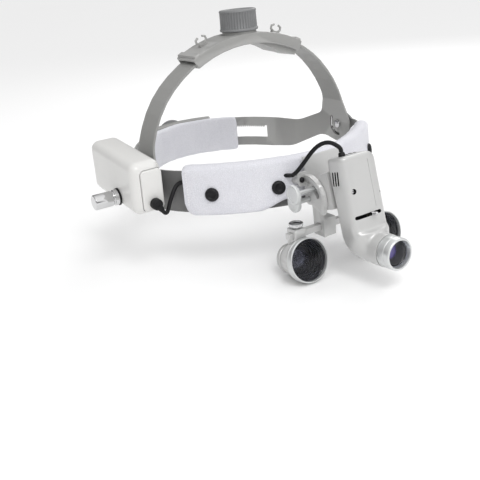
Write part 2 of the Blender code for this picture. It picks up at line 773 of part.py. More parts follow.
def make_pad():
    depth = PAD_FRONT - PAD_BACK
    height = PAD_HIGH - PAD_LOW
    middle = (0.0, (PAD_HIGH + PAD_LOW) / 2, (PAD_FRONT + PAD_BACK) / 2)
    pad = block("forehead_pad", (2 * PAD_HALF_LENGTH, height, depth), middle, "white_leather",
                0.0018, 1)
    slot_low = -0.0013
    slot_high = 0.0044
    slot = block("band_slot", (0.3, 0.0600, slot_high - slot_low),
                 (0, BAND_HIGH + 0.0012 - 0.0300, (slot_low + slot_high) / 2), "white_leather")
    windows = [block("window", (right - left, top - low, 0.0200),
                     ((left + right) / 2, (low + top) / 2, slot_low + 0.0105), "white_leather")
               for left, right, low, top in WINDOWS]
    holes = [rod("snap_hole", SNAP_STEM + GAP, 0.02, Matrix.Translation((s, SNAP_T, 0)),
                 "white_leather", 12) for s in SNAP_AT]
    cut(pad, slot, *windows, *holes)
    bend(pad, front_place, stations(-PAD_HALF_LENGTH, PAD_HALF_LENGTH, 0.0070, 0.0035))


def make_snaps():
    """Press studs through the pad's outer leaf, numbered from the wearer's right."""
    outer = PAD_FRONT + GAP
    profile = [(0.0, outer + 0.0022), (0.0026, outer + 0.0019), (0.0043, outer + 0.0011),
               (0.0051, outer), (SNAP_STEM, outer), (SNAP_STEM, 0.0030), (0.0030, 0.0030),
               (0.0030, 0.0018), (0.0, 0.0018)]
    for i, s in enumerate(SNAP_AT):
        turned(f"snap_button_{i + 1}", profile, oriented((s, SNAP_T, 0.0)), "black_plastic", 12)


def make_temples():
    """The pivot screw and its nut on each side."""
    inner = YOKE_X - SHEET / 2
    outer = BAND_X + SHEET / 2
    hexagon = circle((0.0, 0.0), 0.0036, 6)
    for side_name, side in (("left", 1), ("right", -1)):
        out = Vector((side, 0, 0))
        pivot = Vector((0, TEMPLE_Y, TEMPLE_Z))
        shape = [(0.0, outer + 0.0016), (SCREW_RADIUS, outer + 0.0016),
                 (SCREW_RADIUS, inner - GAP), (0.0036, inner - GAP), (0.0034, inner - 0.0016),
                 (0.0024, inner - 0.0021), (0.0, inner - 0.0021)]
        turned(f"temple_screw_{side_name}", shape, along(pivot, out), "steel", 16)
        nut_middle = outer + GAP + 0.0006
        plate(f"temple_nut_{side_name}", [hexagon, circle((0, 0), SCREW_RADIUS + GAP, 12)],
              0.0012, "steel", along(pivot + out * nut_middle, out))


# The battery case on the wearer's right

CASE_BACK_Y = CASE_FRONT_Y + CASE_LENGTH
CASE_MID_Y = (CASE_FRONT_Y + CASE_BACK_Y) / 2
CASE_MID_X = (CASE_INNER_X + CASE_OUTER_X) / 2
CASE_MID_Z = CASE_TOP_Z - CASE_HEIGHT / 2
CASE_WIDTH = CASE_INNER_X - CASE_OUTER_X
CASE_WALL = 0.0014
DIMMER_Y = 0.0143
DIMMER_Z = -0.0048
PLUG_X = -0.1098
PLUG_Z = -0.0045
CELL_RADIUS = 0.0091
CASE_PIVOT = Matrix.Translation((0, CASE_FRONT_Y, PLUG_Z))
CASE_TURN = CASE_PIVOT @ Matrix.Rotation(math.radians(4.7), 4, "X") @ CASE_PIVOT.inverted()
DIMMER_SPOT = CASE_TURN @ Vector((CASE_OUTER_X, DIMMER_Y, DIMMER_Z))


def make_battery_case():
    """The case is modelled level, then everything on it is turned up at the rear."""
    case = block("battery_case", (CASE_WIDTH, CASE_LENGTH, CASE_HEIGHT),
                 (CASE_MID_X, CASE_MID_Y, CASE_MID_Z), "case_plastic", 0.0055, 3)
    cavity = block("cavity", (CASE_WIDTH - 2 * CASE_WALL, CASE_LENGTH - 0.0030,
                              CASE_HEIGHT - 0.0030),
                   (CASE_MID_X, CASE_MID_Y - 0.0005, CASE_MID_Z), "case_plastic", 0.0030, 2)
    mouth = block("mouth", (0.0196, 0.0140, 0.0330),
                  (CASE_MID_X + 0.0012, CASE_FRONT_Y, CASE_MID_Z), "case_plastic", 0.0015, 2)
    dimmer = rod("dimmer_hole", 0.0050, 0.0080, along((CASE_OUTER_X + 0.0046, DIMMER_Y, DIMMER_Z),
                                                     (-1, 0, 0)), "case_plastic", 24)
    cut(case, cavity, mouth, dimmer)

    cover = block("battery_end_cover", (0.0190, 0.0040, 0.0324),
                  (CASE_MID_X + 0.0012, CASE_FRONT_Y + 0.0004, CASE_MID_Z), "case_plastic",
                  0.0012, 2)
    socket = rod("socket", 0.0031, 0.0200, along((PLUG_X, CASE_FRONT_Y + 0.0080, PLUG_Z),
                                                (0, -1, 0)), "case_plastic", 24)
    nick = block("nick", (0.0020, 0.0060, 0.0040),
                 (CASE_MID_X + 0.0102, CASE_FRONT_Y, CASE_MID_Z + 0.0162), "case_plastic")
    cut(cover, socket, nick)

    cell_length = 0.0500
    cell_start = CASE_BACK_Y - 0.0060
    cell_z = CASE_MID_Z + 0.0070
    cell = rod("battery_cell", CELL_RADIUS, cell_length,
               along((CASE_MID_X, cell_start, cell_z), (0, -1, 0)), "cell_wrap", 20, 0.0004)
    holder = block("cell_holder", (0.0150, cell_length + 0.0040, 0.0012),
                   (CASE_MID_X, cell_start - cell_length / 2, cell_z - CELL_RADIUS - 0.0010),
                   "black_plastic")
    for y in (cell_start + 0.0012, cell_start - cell_length - 0.0012):
        fuse(holder, block("wall", (0.0150, 0.0012, 0.0130),
                           (CASE_MID_X, y, cell_z - 0.0040), "black_plastic"))
    board = block("driver_board", (0.0150, 0.0380, 0.0014),
                  (CASE_MID_X, CASE_MID_Y + 0.0130, CASE_MID_Z - 0.0090), "circuit_board")

    bush = [(0.0066, 0.0012), (0.0066, GAP), (0.0046, GAP), (0.0046, -0.0040), (0.0033, -0.0040),
            (0.0033, 0.0012)]
    base = along((CASE_OUTER_X, DIMMER_Y, DIMMER_Z), (-1, 0, 0))
    collar = turned("dimmer_bush", bush, base, "black_rubber", 24, closed=True)
    knob = [(0.0, 0.0200), (0.0052, 0.0200), (0.0058, 0.0194), (0.0058, 0.0062), (0.0050, 0.0056),
            (0.0050, 0.0048), (0.0060, 0.0044), (0.0060, 0.0015), (0.0029, 0.0015),
            (0.0029, -0.0060), (0.0, -0.0060)]
    dial = turned("dimmer_knob", knob, base, "chrome", 24)
    for piece in (case, cover, cell, holder, board, collar, dial):
        place(piece, CASE_TURN)


def make_case_bracket():
    """The plate between the band and the case, open round the temple nut."""
    outline = rounded([(-0.0020, -0.0045, 0.002), (0.0420, -0.0030, 0.002),
                       (0.0420, 0.0190, 0.002), (-0.0020, 0.0190, 0.002)], 4)
    hole = circle((TEMPLE_Y, TEMPLE_Z), 0.0042, 20)
    turn = Matrix(((0, 0, 1, 0), (1, 0, 0, 0), (0, 1, 0, 0), (0, 0, 0, 1)))
    x = -(BAND_X + SHEET / 2 + GAP + 0.0007)
    plate("case_bracket", [outline, hole], 0.0011, "black_plastic",
          Matrix.Translation((x, 0, 0)) @ turn)


# Cables

CABLE_RADIUS = 0.0015
CABLE_T = 0.0060
LOWER_ROUTE = [(-0.1062, -0.0192, -0.0106), (-0.1053, -0.0194, -0.0121),
               (-0.1039, -0.0195, -0.0129), (-0.1024, -0.0194, -0.0118),
               (-0.1011, -0.0193, -0.0090), (-0.0990, -0.0191, -0.0046),
               (-0.0968, -0.0188, -0.0010), (-0.0941, -0.0182, 0.0026),
               (-0.0913, -0.0173, 0.0047)]
LOOP_ROUTE = [(-0.0268, -0.0724, 0.0078), (-0.0261, -0.0746, 0.0096), (-0.0244, -0.0774, 0.0130),
              (-0.0216, -0.0808, 0.0185), (-0.0182, -0.0852, 0.0255), (-0.0148, -0.0907, 0.0306),
              (-0.0112, -0.0962, 0.0318), (-0.0086, -0.1006, 0.0296)]
WIRE_INLET = Vector((-0.0074, 0.0005, 0.0))


def make_cables():
    """The plug, the cable under the pad and the free loop up to the lamp."""
    base = CASE_TURN @ along((PLUG_X, CASE_FRONT_Y - 0.0019, PLUG_Z), (0, -1, 0))
    plug = [(0.0, 0.0056), (0.0036, 0.0056), (0.0042, 0.0050), (0.0042, 0.0003), (0.0028, 0.0003),
            (0.0028, -0.0080), (0.0, -0.0080)]
    body = turned("cable_plug", plug, base, "black_rubber", 20)
    exit_at = CASE_TURN @ Vector((PLUG_X + 0.0006, CASE_FRONT_Y - 0.0048, PLUG_Z - 0.0010))
    first = Vector(LOWER_ROUTE[0])
    run = first - exit_at
    gap = 1.5 * GAP
    relief = turned("relief", [(0.0, run.length - gap), (0.0018, run.length - gap),
                               (0.0030, 0.0), (0.0, 0.0)], along(exit_at, run),
                    "black_rubber", 14)
    fuse(body, relief)
    hidden = [front_place(s, CABLE_T, 0.0027)
              for s in np.linspace(-PAD_HALF_LENGTH - 0.0025, CABLE_LEAVES, 12)]
    leaving = [front_place(*spot) for spot in LEAVING]
    start = Vector(LOOP_ROUTE[0])
    onward = (Vector(LOOP_ROUTE[1]) - start).normalized()
    last = [start - onward * (gap + 0.0016), start - onward * gap]
    knots = LOWER_ROUTE + [tuple(point) for point in hidden + leaving + last]
    lower = spline_points(knots, 0.0026)
    tube("power_cable", [tuple(point) for point in lower], CABLE_RADIUS, "black_rubber", 1)
    top = lamp_body_frame()
    ends = [top @ (WIRE_INLET + Vector((0, 0, height))) for height in (0.0052, 0.0029)]
    loop = spline_points(LOOP_ROUTE + [tuple(point) for point in ends], 0.0035)
    tube("lamp_cable", [tuple(point) for point in loop], CABLE_RADIUS, "black_rubber", 1)


# The front bracket and the lamp's carrier

SIDE_FRAME = Matrix(((0, 0, -1, 0), (-1, 0, 0, TILT_Y), (0, 1, 0, TILT_Z), (0, 0, 0, 1)))
CHEEK_THICK = 0.0024
PLATE_THICK = 0.0024
CARRIER_X = CHEEK_X + CHEEK_THICK / 2 + GAP + PLATE_THICK / 2
ARM_X = CARRIER_X + PLATE_THICK + GAP
CHEEK_RADIUS = 0.0178
HUB_RADIUS = 0.0044
PIVOT_RADIUS = 0.0018
BASE_LOW = 0.0082           # the base plate's two faces, in front of the band's middle
BASE_HIGH = 0.0106


def side_plate(name, outlines, x, thickness, finish):
    """A plate in a plane x = constant; its outline is (forward, up) from the tilt pivot."""
    return plate(name, outlines, thickness, finish, Matrix.Translation((x, 0, 0)) @ SIDE_FRAME)


def arc_screw_spot(radius=ARC_RADIUS):
    return (radius * math.cos(ARC_SCREW_ANGLE), radius * math.sin(ARC_SCREW_ANGLE))


def bracket_frame():
    """A frame on the middle of the band, X along it, Y up it and Z out of it."""
    lean = FRONT_LEAN
    rows = ((1, 0, 0, 0), (0, math.sin(lean), -math.cos(lean), FRONT_Y),
            (0, math.cos(lean), math.sin(lean), 0), (0, 0, 0, 1))
    return Matrix(rows)


def band_face(x, radius):
    """How far in front of the band's middle a boss of this radius starts, clear of the band."""
    nearer = x - math.copysign(radius, x)
    spot, _ = front_route.at(front_route.nearest(nearer, FRONT_Y))
    return (FRONT_Y - spot[1]) / math.cos(FRONT_LEAN) + SHEET / 2 + GAP


def make_bracket():
    """Base plate on the band with a cheek that carries the arc slot."""
    frame = bracket_frame()
    middle = (BASE_LOW + BASE_HIGH) / 2
    thick = BASE_HIGH - BASE_LOW
    base = block("front_bracket", (0.0350, 0.0230, thick), (0.0005, 0.0055, middle),
                 "silver_paint", 0.0006, 1, frame)
    lug = block("lug", (0.0098, 0.0100, thick - 0.0002), (-0.0195, 0.0020, middle),
                "silver_paint", 0.0005, 1, frame)
    fuse(base, lug)
    for x, up in BOLTS:
        low = band_face(x, BOLT_BOSS)
        boss = rod("boss", BOLT_BOSS, middle - low, frame @ Matrix.Translation((x, up, low)),
                   "silver_paint", 14)
        fuse(base, boss)
    rim = arc_points((0, 0), CHEEK_RADIUS, math.radians(100), math.radians(-30), 16)
    hub = arc_points((0, 0), HUB_RADIUS, math.radians(-60), math.radians(-170), 7)
    outline = rim + hub + [(-0.0035, 0.0060), (-0.0060, 0.0100), (-0.0060, 0.0170)]
    holes = [arc_slot((0, 0), ARC_RADIUS, 0.0021, ARC_SCREW_ANGLE - math.radians(32),
                      ARC_SCREW_ANGLE + math.radians(32)),
             circle((0, 0), PIVOT_RADIUS + GAP, 16)]
    cheek = side_plate("cheek", [outline] + holes, CHEEK_X, CHEEK_THICK, "silver_paint")
    outer_rim = arc_points((0, 0), CHEEK_RADIUS, math.radians(98), math.radians(-28), 14)
    inner_rim = arc_points((0, 0), CHEEK_RADIUS - 0.0026, math.radians(-28), math.radians(98), 14)
    rim_wall = side_plate("rim", [outer_rim + inner_rim], CHEEK_X - 0.0007,
                          CHEEK_THICK + 0.0014, "silver_paint")
    fuse(base, cheek, rim_wall)
    for name, (x, up) in zip(("bracket_screw_side", "bracket_screw_middle"), BOLTS):
        bore = rod("bore", BOLT_RADIUS + GAP, 0.0200, frame @ Matrix.Translation((x, up, -0.0040)),
                   "silver_paint", 12)
        cut(base, bore)
        low = band_face(x, 0.0) - SHEET - GAP
        profile = [(0.0, BASE_HIGH + 0.0018), (0.0015, BASE_HIGH + 0.0016),
                   (0.0021, BASE_HIGH + 0.0009), (0.0021, BASE_HIGH + GAP),
                   (BOLT_RADIUS, BASE_HIGH + GAP), (BOLT_RADIUS, low), (0.0, low)]
        turned(name, profile, frame @ Matrix.Translation((x, up, 0)), "black_plastic", 12)


def make_carrier():
    """The plate that pivots on the cheek and holds the lamp."""
    spot = arc_screw_spot()
    hub = arc_points((0, 0), HUB_RADIUS, math.radians(160), math.radians(300), 8)
    top = arc_points(spot, 0.0045, math.radians(70), math.radians(150), 6)
    outline = hub + [(0.0130, -0.0060), (0.0233, -0.0032), (0.0170, 0.0221),
                     (0.0100, 0.0190)] + top
    holes = [circle((0, 0), PIVOT_RADIUS + GAP, 16), circle(spot, 0.0020, 14)]
    carrier = side_plate("lamp_carrier", [outline] + holes, CARRIER_X, PLATE_THICK,
                         "silver_paint")
    flange = block("flange", (0.0150, 0.0020, 0.0260),
                   (CARRIER_X + 0.0075 - PLATE_THICK / 2, LAMP_HALF_DEPTH + GAP + 0.0010, -0.0220),
                   "silver_paint", frame=lamp_body_frame())
    fuse(carrier, flange)


def thumbscrew(name, y, z, disc_x, disc_radius, tip_x, shaft_radius):
    """A clamping screw along X: a thick disc, a collar and a plain shaft."""
    length = tip_x - disc_x
    profile = [(0.0, length), (shaft_radius, length), (shaft_radius, 0.0062),
               (0.0034, 0.0056), (0.0034, 0.0034), (disc_radius - 0.0006, 0.0034),
               (disc_radius, 0.0028), (disc_radius, 0.0006), (disc_radius - 0.0006, 0.0),
               (0.0, 0.0)]
    return turned(name, profile, along((disc_x, y, z), (1, 0, 0)), "silver_paint", 20)


def make_thumbscrews():
    forward, up = arc_screw_spot()
    thumbscrew("arc_thumbscrew", TILT_Y - forward, TILT_Z + up, -0.0382, 0.0070,
               CARRIER_X + PLATE_THICK / 2 - GAP, 0.0016)
    thumbscrew("pivot_thumbscrew", TILT_Y, TILT_Z, -0.0336, 0.0066,
               ARM_X + PLATE_THICK / 2 + 0.0010, PIVOT_RADIUS)


# The lamp

BODY_LENGTH = 0.0643        # from the lamp's top to where its axis meets the beam
BEAM_LENGTH = 0.0292
ELBOW_RADIUS = 0.0160
ELBOW_STEPS = 5
SECTION_POINTS = 20


def lamp_body_frame():
    """A frame at the lamp's top, its Z axis up the leaning body and its Y axis to the head."""
    return Matrix.Translation(LAMP_TOP) @ Matrix.Rotation(-PITCH, 4, "X")


def lamp_axis():
    """Middle points of the lamp's body with their directions: down, round the elbow, forward."""
    down = Vector((0, -math.sin(PITCH), -math.cos(PITCH)))
    beam = Vector((0, -math.cos(BEAM_PITCH), math.sin(BEAM_PITCH)))
    turn = down.angle(beam)
    tangent = ELBOW_RADIUS * math.tan(turn / 2)
    corner = LAMP_TOP + down * BODY_LENGTH
    rows = [(LAMP_TOP + down * d, down) for d in (0.0, 0.0006, 0.0020, 0.0120, 0.0260, 0.0400)]
    start = corner - down * tangent
    side = (beam - down * beam.dot(down)).normalized()
    centre = start + side * ELBOW_RADIUS
    for k in range(ELBOW_STEPS + 1):
        angle = turn * k / ELBOW_STEPS
        direction = down * math.cos(angle) + side * math.sin(angle)
        rows.append((centre - side * ELBOW_RADIUS * math.cos(angle)
                     + down * ELBOW_RADIUS * math.sin(angle), direction))
    end = LENS_CENTRE - beam * 0.0100
    rows.append((end, beam))
    return rows


def lamp_sections(inset, first, beyond=0.0):
    """Cross sections of the lamp from a rounded box to a circle, drawn in by an inset."""
    rows = lamp_axis()
    total = len(rows)
    end, beam = rows[-1]
    rows[-1] = (end + beam * beyond, beam)
    sections = []
    for i, (middle, direction) in enumerate(rows):
        if i < first:
            continue
        share = smooth(i, 5, total - 2)
        half_width = LAMP_HALF_WIDTH * (1 - share) + TUBE_RADIUS * share
        half_depth = LAMP_HALF_DEPTH * (1 - share) + TUBE_RADIUS * share
        bulge = math.sin(math.pi * share) * 0.0012
        power = 5.5 * (1 - share) + 2.0 * share
        edge = (0.0020, 0.0008, 0.0)[i] if i < 3 else 0.0
        half_width += bulge - edge - inset
        half_depth += bulge - edge - inset
        across = Vector((1, 0, 0))
        through = direction.cross(across).normalized()
        ring = []
        for k in range(SECTION_POINTS):
            angle = 2 * math.pi * (k + 0.5) / SECTION_POINTS
            c, s = math.cos(angle), math.sin(angle)
            x = half_width * math.copysign(abs(c) ** (2 / power), c)
            y = half_depth * math.copysign(abs(s) ** (2 / power), s)
            ring.append(middle + across * x + through * y)
        sections.append(ring)
    return sections


def make_lamp():
    body = lamp_body_frame()
    beam = Vector((0, -math.cos(BEAM_PITCH), math.sin(BEAM_PITCH)))
    housing = loft("lamp_housing", lamp_sections(0.0, 0), "silver_paint")
    cavity = loft("cavity", lamp_sections(LAMP_WALL, 2, 0.0040), "silver_paint")
    opening = block("opening", (0.0246, 0.0060, 0.0350), (0, LAMP_HALF_DEPTH, -0.0220),
                    "silver_paint", frame=body)
    cut(housing, cavity, opening)
    for k in range(3):
        cut(housing, block("vent", (0.0060, 0.0009, 0.0085),
                           (-LAMP_HALF_WIDTH, 0.0010 + 0.0022 * (k - 1), -0.0125),
                           "silver_paint", frame=body))
    for k in range(5):
        cut(housing, block("vent", (0.0012, 0.0100, 0.0060), (0.0032 * k - 0.0016, 0.0, 0.0),
                           "silver_paint", frame=body))
    slot = block("slot", (0.0220, 0.0080, 0.0028), (0.0, -LAMP_HALF_DEPTH, -0.0420), "silver_paint",
                 0.0011, 1, body)
    hole_at = Vector((-0.0110, -LAMP_HALF_DEPTH + 0.0040, -0.0240))
    hole = rod("hole", 0.0017, 0.0080, body @ along(hole_at, (0, -1, 0)), "silver_paint", 12)
    inlet = rod("inlet", 0.0026, 0.0080, body @ Matrix.Translation(WIRE_INLET - Vector((0, 0, 0.004))),
                "silver_paint", 14)
    cut(housing, slot, hole, inlet)

    block("lamp_rear_cover", (0.0240, 0.0014, 0.0344), (0, LAMP_HALF_DEPTH - 0.0009, -0.0220),
          "silver_paint", 0.0003, 1, body)

    grommet = [(0.0032, 0.0026), (0.0037, 0.0012), (0.0037, GAP), (0.0022, GAP),
               (0.0022, -0.0024), (0.0018, -0.0024), (0.0018, 0.0026)]
    turned("cable_grommet", grommet, body @ Matrix.Translation(WIRE_INLET), "black_rubber", 18,
           closed=True)

    sink = block("heat_sink", (0.0200, 0.0120, 0.0030), (0, 0, -0.0260), "aluminium", frame=body)
    for k in range(5):
        fuse(sink, block("fin", (0.0180, 0.0012, 0.0140), (0, -0.0048 + 0.0024 * k, -0.0180),
                         "aluminium", frame=body))
    back = LENS_CENTRE - beam * 0.0255
    board = rod("led_board", 0.0074, 0.0016, along(back, beam), "circuit_board", 20)
    chip = block("chip", (0.0040, 0.0040, 0.0012), (0, 0, 0.0020), "yellow_glass",
                 frame=along(back, beam))
    fuse(board, chip)
    condenser = [(0.0, 0.0060), (0.0045, 0.0050), (0.0078, 0.0022), (0.0084, 0.0), (0.0, 0.0)]
    turned("condenser_lens", condenser, along(LENS_CENTRE - beam * 0.0220, beam), "glass", 20)

    ring = [(0.0108, 0.0012), (0.0112, 0.0006), (0.0113, -0.0080), (0.0109, -0.0097),
            (0.0088, -0.0097), (0.0088, -0.0030), (0.0094, -0.0030), (0.0094, 0.0012)]
    turned("lamp_lens_ring", ring, along(LENS_CENTRE, beam), "silver_paint", 20, closed=True)
    front = [(0.0, 0.0010), (0.0050, 0.0004), (0.0090, -0.0012), (0.0090, -0.0026), (0.0, -0.0026)]
    turned("lamp_front_lens", front, along(LENS_CENTRE, beam), "glass", 24)


def make_filter():
    """A sliding filter, moved by the pin that stands out of the housing's slot."""
    body = lamp_body_frame()
    slide = block("filter_slide", (0.0100, 0.0012, 0.0120), (0.0030, -0.0060, -0.0440),
                  "yellow_glass", frame=body)
    profile = [(0.0, 0.0080), (0.0011, 0.0080), (0.0013, 0.0074), (0.0013, 0.0018),
               (0.0009, 0.0012), (0.0009, -0.0010), (0.0, -0.0010)]
    pin = turned("pin", profile, body @ along((0.0030, -0.0070, -0.0420), (0, -1, 0)), "steel", 14)
    fuse(slide, pin)


# The loupes

def loupe_frame(x):
    """The frame at an objective's front face; its Z axis is the viewing direction."""
    view = Vector((0, -math.cos(PITCH), math.sin(PITCH)))
    return along((x, OBJECTIVE_Y, OBJECTIVE_Z), view)


def make_arm():
    """The arm from the tilt pivot down to the block that holds the pupil-distance bar."""
    hub = arc_points((0, 0), HUB_RADIUS, math.radians(20), math.radians(190), 8)
    forward = TILT_Y - BAR_Y
    up = BAR_Z - TILT_Z
    outline = hub + [(forward - 0.0060, up + 0.0060), (forward - 0.0060, up - 0.0070),
                     (forward + 0.0060, up - 0.0070), (forward + 0.0060, up + 0.0060)]
    arm = side_plate("loupe_arm", [outline, circle((0, 0), PIVOT_RADIUS + GAP, 16)], ARM_X,
                     PLATE_THICK, "silver_paint")
    centre = (ARM_X + 0.0044, BAR_Y, BAR_Z)
    body = block("block", (0.0112, 0.0120, 0.0140), centre, "silver_paint", 0.0006, 1)
    fuse(arm, body)
    hole = block("hole", (0.0400, BAR_DEPTH + 2 * GAP, BAR_HEIGHT + 2 * GAP), centre,
                 "silver_paint")
    cut(arm, hole)
    low = PUPILS["right"] - 0.0080
    high = PUPILS["left"] + 0.0080
    block("pupil_bar", (high - low, BAR_DEPTH, BAR_HEIGHT), ((high + low) / 2, BAR_Y, BAR_Z),
          "silver_paint")


def make_loupe(side_name):
    x = PUPILS[side_name]
    frame = loupe_frame(x)
    ring = [(OBJECTIVE_RADIUS - 0.0004, 0.0), (OBJECTIVE_RADIUS, -0.0006),
            (OBJECTIVE_RADIUS, -0.0050), (0.0142, -0.0050), (0.0142, -0.0022), (0.0146, 0.0)]
    turned(f"objective_ring_{side_name}", ring, frame, "silver_paint", 20, closed=True)
    lens = [(0.0, -0.0010), (0.0070, -0.0014), (0.0138, -0.0028), (0.0138, -0.0048),
            (0.0, -0.0048)]
    turned(f"objective_lens_{side_name}", lens, frame, "glass", 24)
    back = -BARREL_LENGTH
    cup = back - 0.0042
    barrel = [(0.0156, -0.0053), (0.0156, -0.0080), (0.0112, -0.0205), (0.0108, -0.0212),
              (0.0108, back), (0.0112, back - 0.0003), (0.0112, cup + 0.0006), (0.0106, cup),
              (0.0090, cup), (0.0090, cup + 0.0016), (0.0096, cup + 0.0016),
              (0.0096, -0.0200), (0.0138, -0.0080), (0.0138, -0.0053)]
    turned(f"barrel_{side_name}", barrel, frame, "silver_paint", 20, closed=True)
    eye = [(0.0, cup + 0.0050), (0.0060, cup + 0.0044), (0.0092, cup + 0.0034),
           (0.0092, cup + 0.0020), (0.0, cup + 0.0020)]
    turned(f"eyepiece_lens_{side_name}", eye, frame, "glass", 24)

    low = -0.0475
    high = -0.0276
    holder = block(f"loupe_holder_{side_name}", (0.0096, 0.0104, high - low),
                   (x, BAR_Y, (high + low) / 2), "silver_paint", 0.0006, 1)
    slot = block("slot", (0.0300, BAR_DEPTH + 2 * GAP, BAR_HEIGHT + 2 * GAP), (x, BAR_Y, BAR_Z),
                 "silver_paint")
    reach = OBJECTIVE_RADIUS + GAP
    seat = turned("seat", [(0.0, 0.0020), (reach, 0.0020), (reach, -0.0056), (0.0159, -0.0056),
                           (0.0159, -0.0082), (0.0115, -0.0207), (0.0111, -0.0214),
                           (0.0111, -0.0300), (0.0, -0.0300)], frame, "silver_paint", 28)
    bore = rod("bore", 0.0018, 0.0080, along((x, BAR_Y, BAR_Z), (0, 0, 1)), "silver_paint", 12)
    cut(holder, slot, seat, bore)
    knob = [(0.0, 0.0040), (0.0048, 0.0040), (0.0052, 0.0037), (0.0052, 0.0018),
            (0.0048, 0.0015), (0.0030, 0.0015), (0.0028, 0.0012), (0.0028, GAP), (0.0015, GAP),
            (0.0015, -0.0021), (0.0, -0.0021)]
    turned(f"loupe_thumbscrew_{side_name}", knob, along((x, BAR_Y, high), (0, 0, 1)), "chrome", 20)


# Where the moving pieces turn

def joint_origins():
    """The place on its joint's axis that each moving piece has its origin at."""
    forward, up = arc_screw_spot()
    tilt = (0.0, TILT_Y, TILT_Z)
    rows = {
        (0.0, TEMPLE_Y, TEMPLE_Z): ["yoke_left", "yoke_right", "crown_housing", "crown_pinion",
                                    "rear_housing", "rear_pinion", "rear_pad"],
        (0.0, TEMPLE_Y + STRAP_MID, CROWN_Z): ["crown_knob"],
        (0.0, REAR_Y, TEMPLE_Z + WINDOW_MIDDLE): ["rear_knob"],
        tuple(DIMMER_SPOT): ["dimmer_knob"],
        tilt: ["lamp_carrier", "lamp_housing", "lamp_rear_cover", "cable_grommet", "heat_sink",
               "led_board", "condenser_lens", "lamp_lens_ring", "lamp_front_lens",
               "filter_slide", "loupe_arm", "pupil_bar"],
        (CHEEK_X, TILT_Y, TILT_Z): ["pivot_thumbscrew"],
        (CHEEK_X, TILT_Y - forward, TILT_Z + up): ["arc_thumbscrew"],
    }
    for side_name, x in PUPILS.items():
        rows[(x, BAR_Y, BAR_Z)] = [
            piece + side_name for piece in ("loupe_holder_", "barrel_", "objective_ring_",
                                            "objective_lens_", "eyepiece_lens_",
                                            "loupe_thumbscrew_")]
    return rows


def set_origins():
    for spot, names in joint_origins().items():
        for name in names:
            part = bpy.data.objects[name]
            part.data.transform(Matrix.Translation(-Vector(spot)))
            part.location = spot


def main():
    global PARTS
    clear_scene()
    PARTS = bpy.data.collections.new("dental_loupes")
    bpy.context.scene.collection.children.link(PARTS)
    make_yoke("yoke_left", 1)
    make_yoke("yoke_right", -1)
    make_crown()
    make_rear()
    make_band()
    make_pad()
    make_snaps()
    make_temples()
    make_battery_case()
    make_case_bracket()
    make_cables()
    make_bracket()
    make_carrier()
    make_thumbscrews()
    make_lamp()
    make_filter()
    make_arm()
    for side_name in PUPILS:
        make_loupe(side_name)
    set_origins()
    for part in PARTS.objects:
        part.data.shade_smooth()
        part.data.set_sharp_from_angle(angle=math.radians(35))


main()
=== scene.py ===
"""Looks for the headband dental loupes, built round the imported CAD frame.

The wearer looks along -Y, +X is the wearer's left and +Z is up. Sizes are in metres.
"""
import json
import math

import bmesh
import bpy
import numpy as np
from mathutils import Matrix, Vector, noise


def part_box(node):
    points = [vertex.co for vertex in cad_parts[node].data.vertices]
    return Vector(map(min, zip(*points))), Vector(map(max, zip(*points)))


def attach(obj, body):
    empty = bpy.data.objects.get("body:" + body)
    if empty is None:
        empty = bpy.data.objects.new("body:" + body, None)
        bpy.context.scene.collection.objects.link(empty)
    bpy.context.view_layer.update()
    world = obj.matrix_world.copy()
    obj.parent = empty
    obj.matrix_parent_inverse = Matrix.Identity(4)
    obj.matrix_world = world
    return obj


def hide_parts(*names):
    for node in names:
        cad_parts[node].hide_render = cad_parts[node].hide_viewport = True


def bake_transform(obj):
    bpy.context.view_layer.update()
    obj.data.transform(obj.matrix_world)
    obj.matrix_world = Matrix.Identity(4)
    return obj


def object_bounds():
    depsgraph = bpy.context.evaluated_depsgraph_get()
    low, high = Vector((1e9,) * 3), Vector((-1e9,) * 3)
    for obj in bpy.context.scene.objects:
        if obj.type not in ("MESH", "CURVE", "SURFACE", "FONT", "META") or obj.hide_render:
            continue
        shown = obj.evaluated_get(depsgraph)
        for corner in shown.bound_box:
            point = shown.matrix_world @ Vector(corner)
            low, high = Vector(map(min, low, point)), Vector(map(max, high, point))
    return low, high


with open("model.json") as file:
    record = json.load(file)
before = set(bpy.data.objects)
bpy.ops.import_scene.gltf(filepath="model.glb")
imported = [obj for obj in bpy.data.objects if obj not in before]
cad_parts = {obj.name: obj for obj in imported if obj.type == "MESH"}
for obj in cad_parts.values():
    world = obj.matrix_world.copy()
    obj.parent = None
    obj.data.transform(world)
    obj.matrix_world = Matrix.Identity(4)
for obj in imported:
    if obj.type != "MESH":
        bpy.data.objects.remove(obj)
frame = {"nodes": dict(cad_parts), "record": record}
CAD_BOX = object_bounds()
NODE_BODY = {node: body for body, nodes in frame["record"]["behaviour"]["bodies"].items()
             for node in nodes}

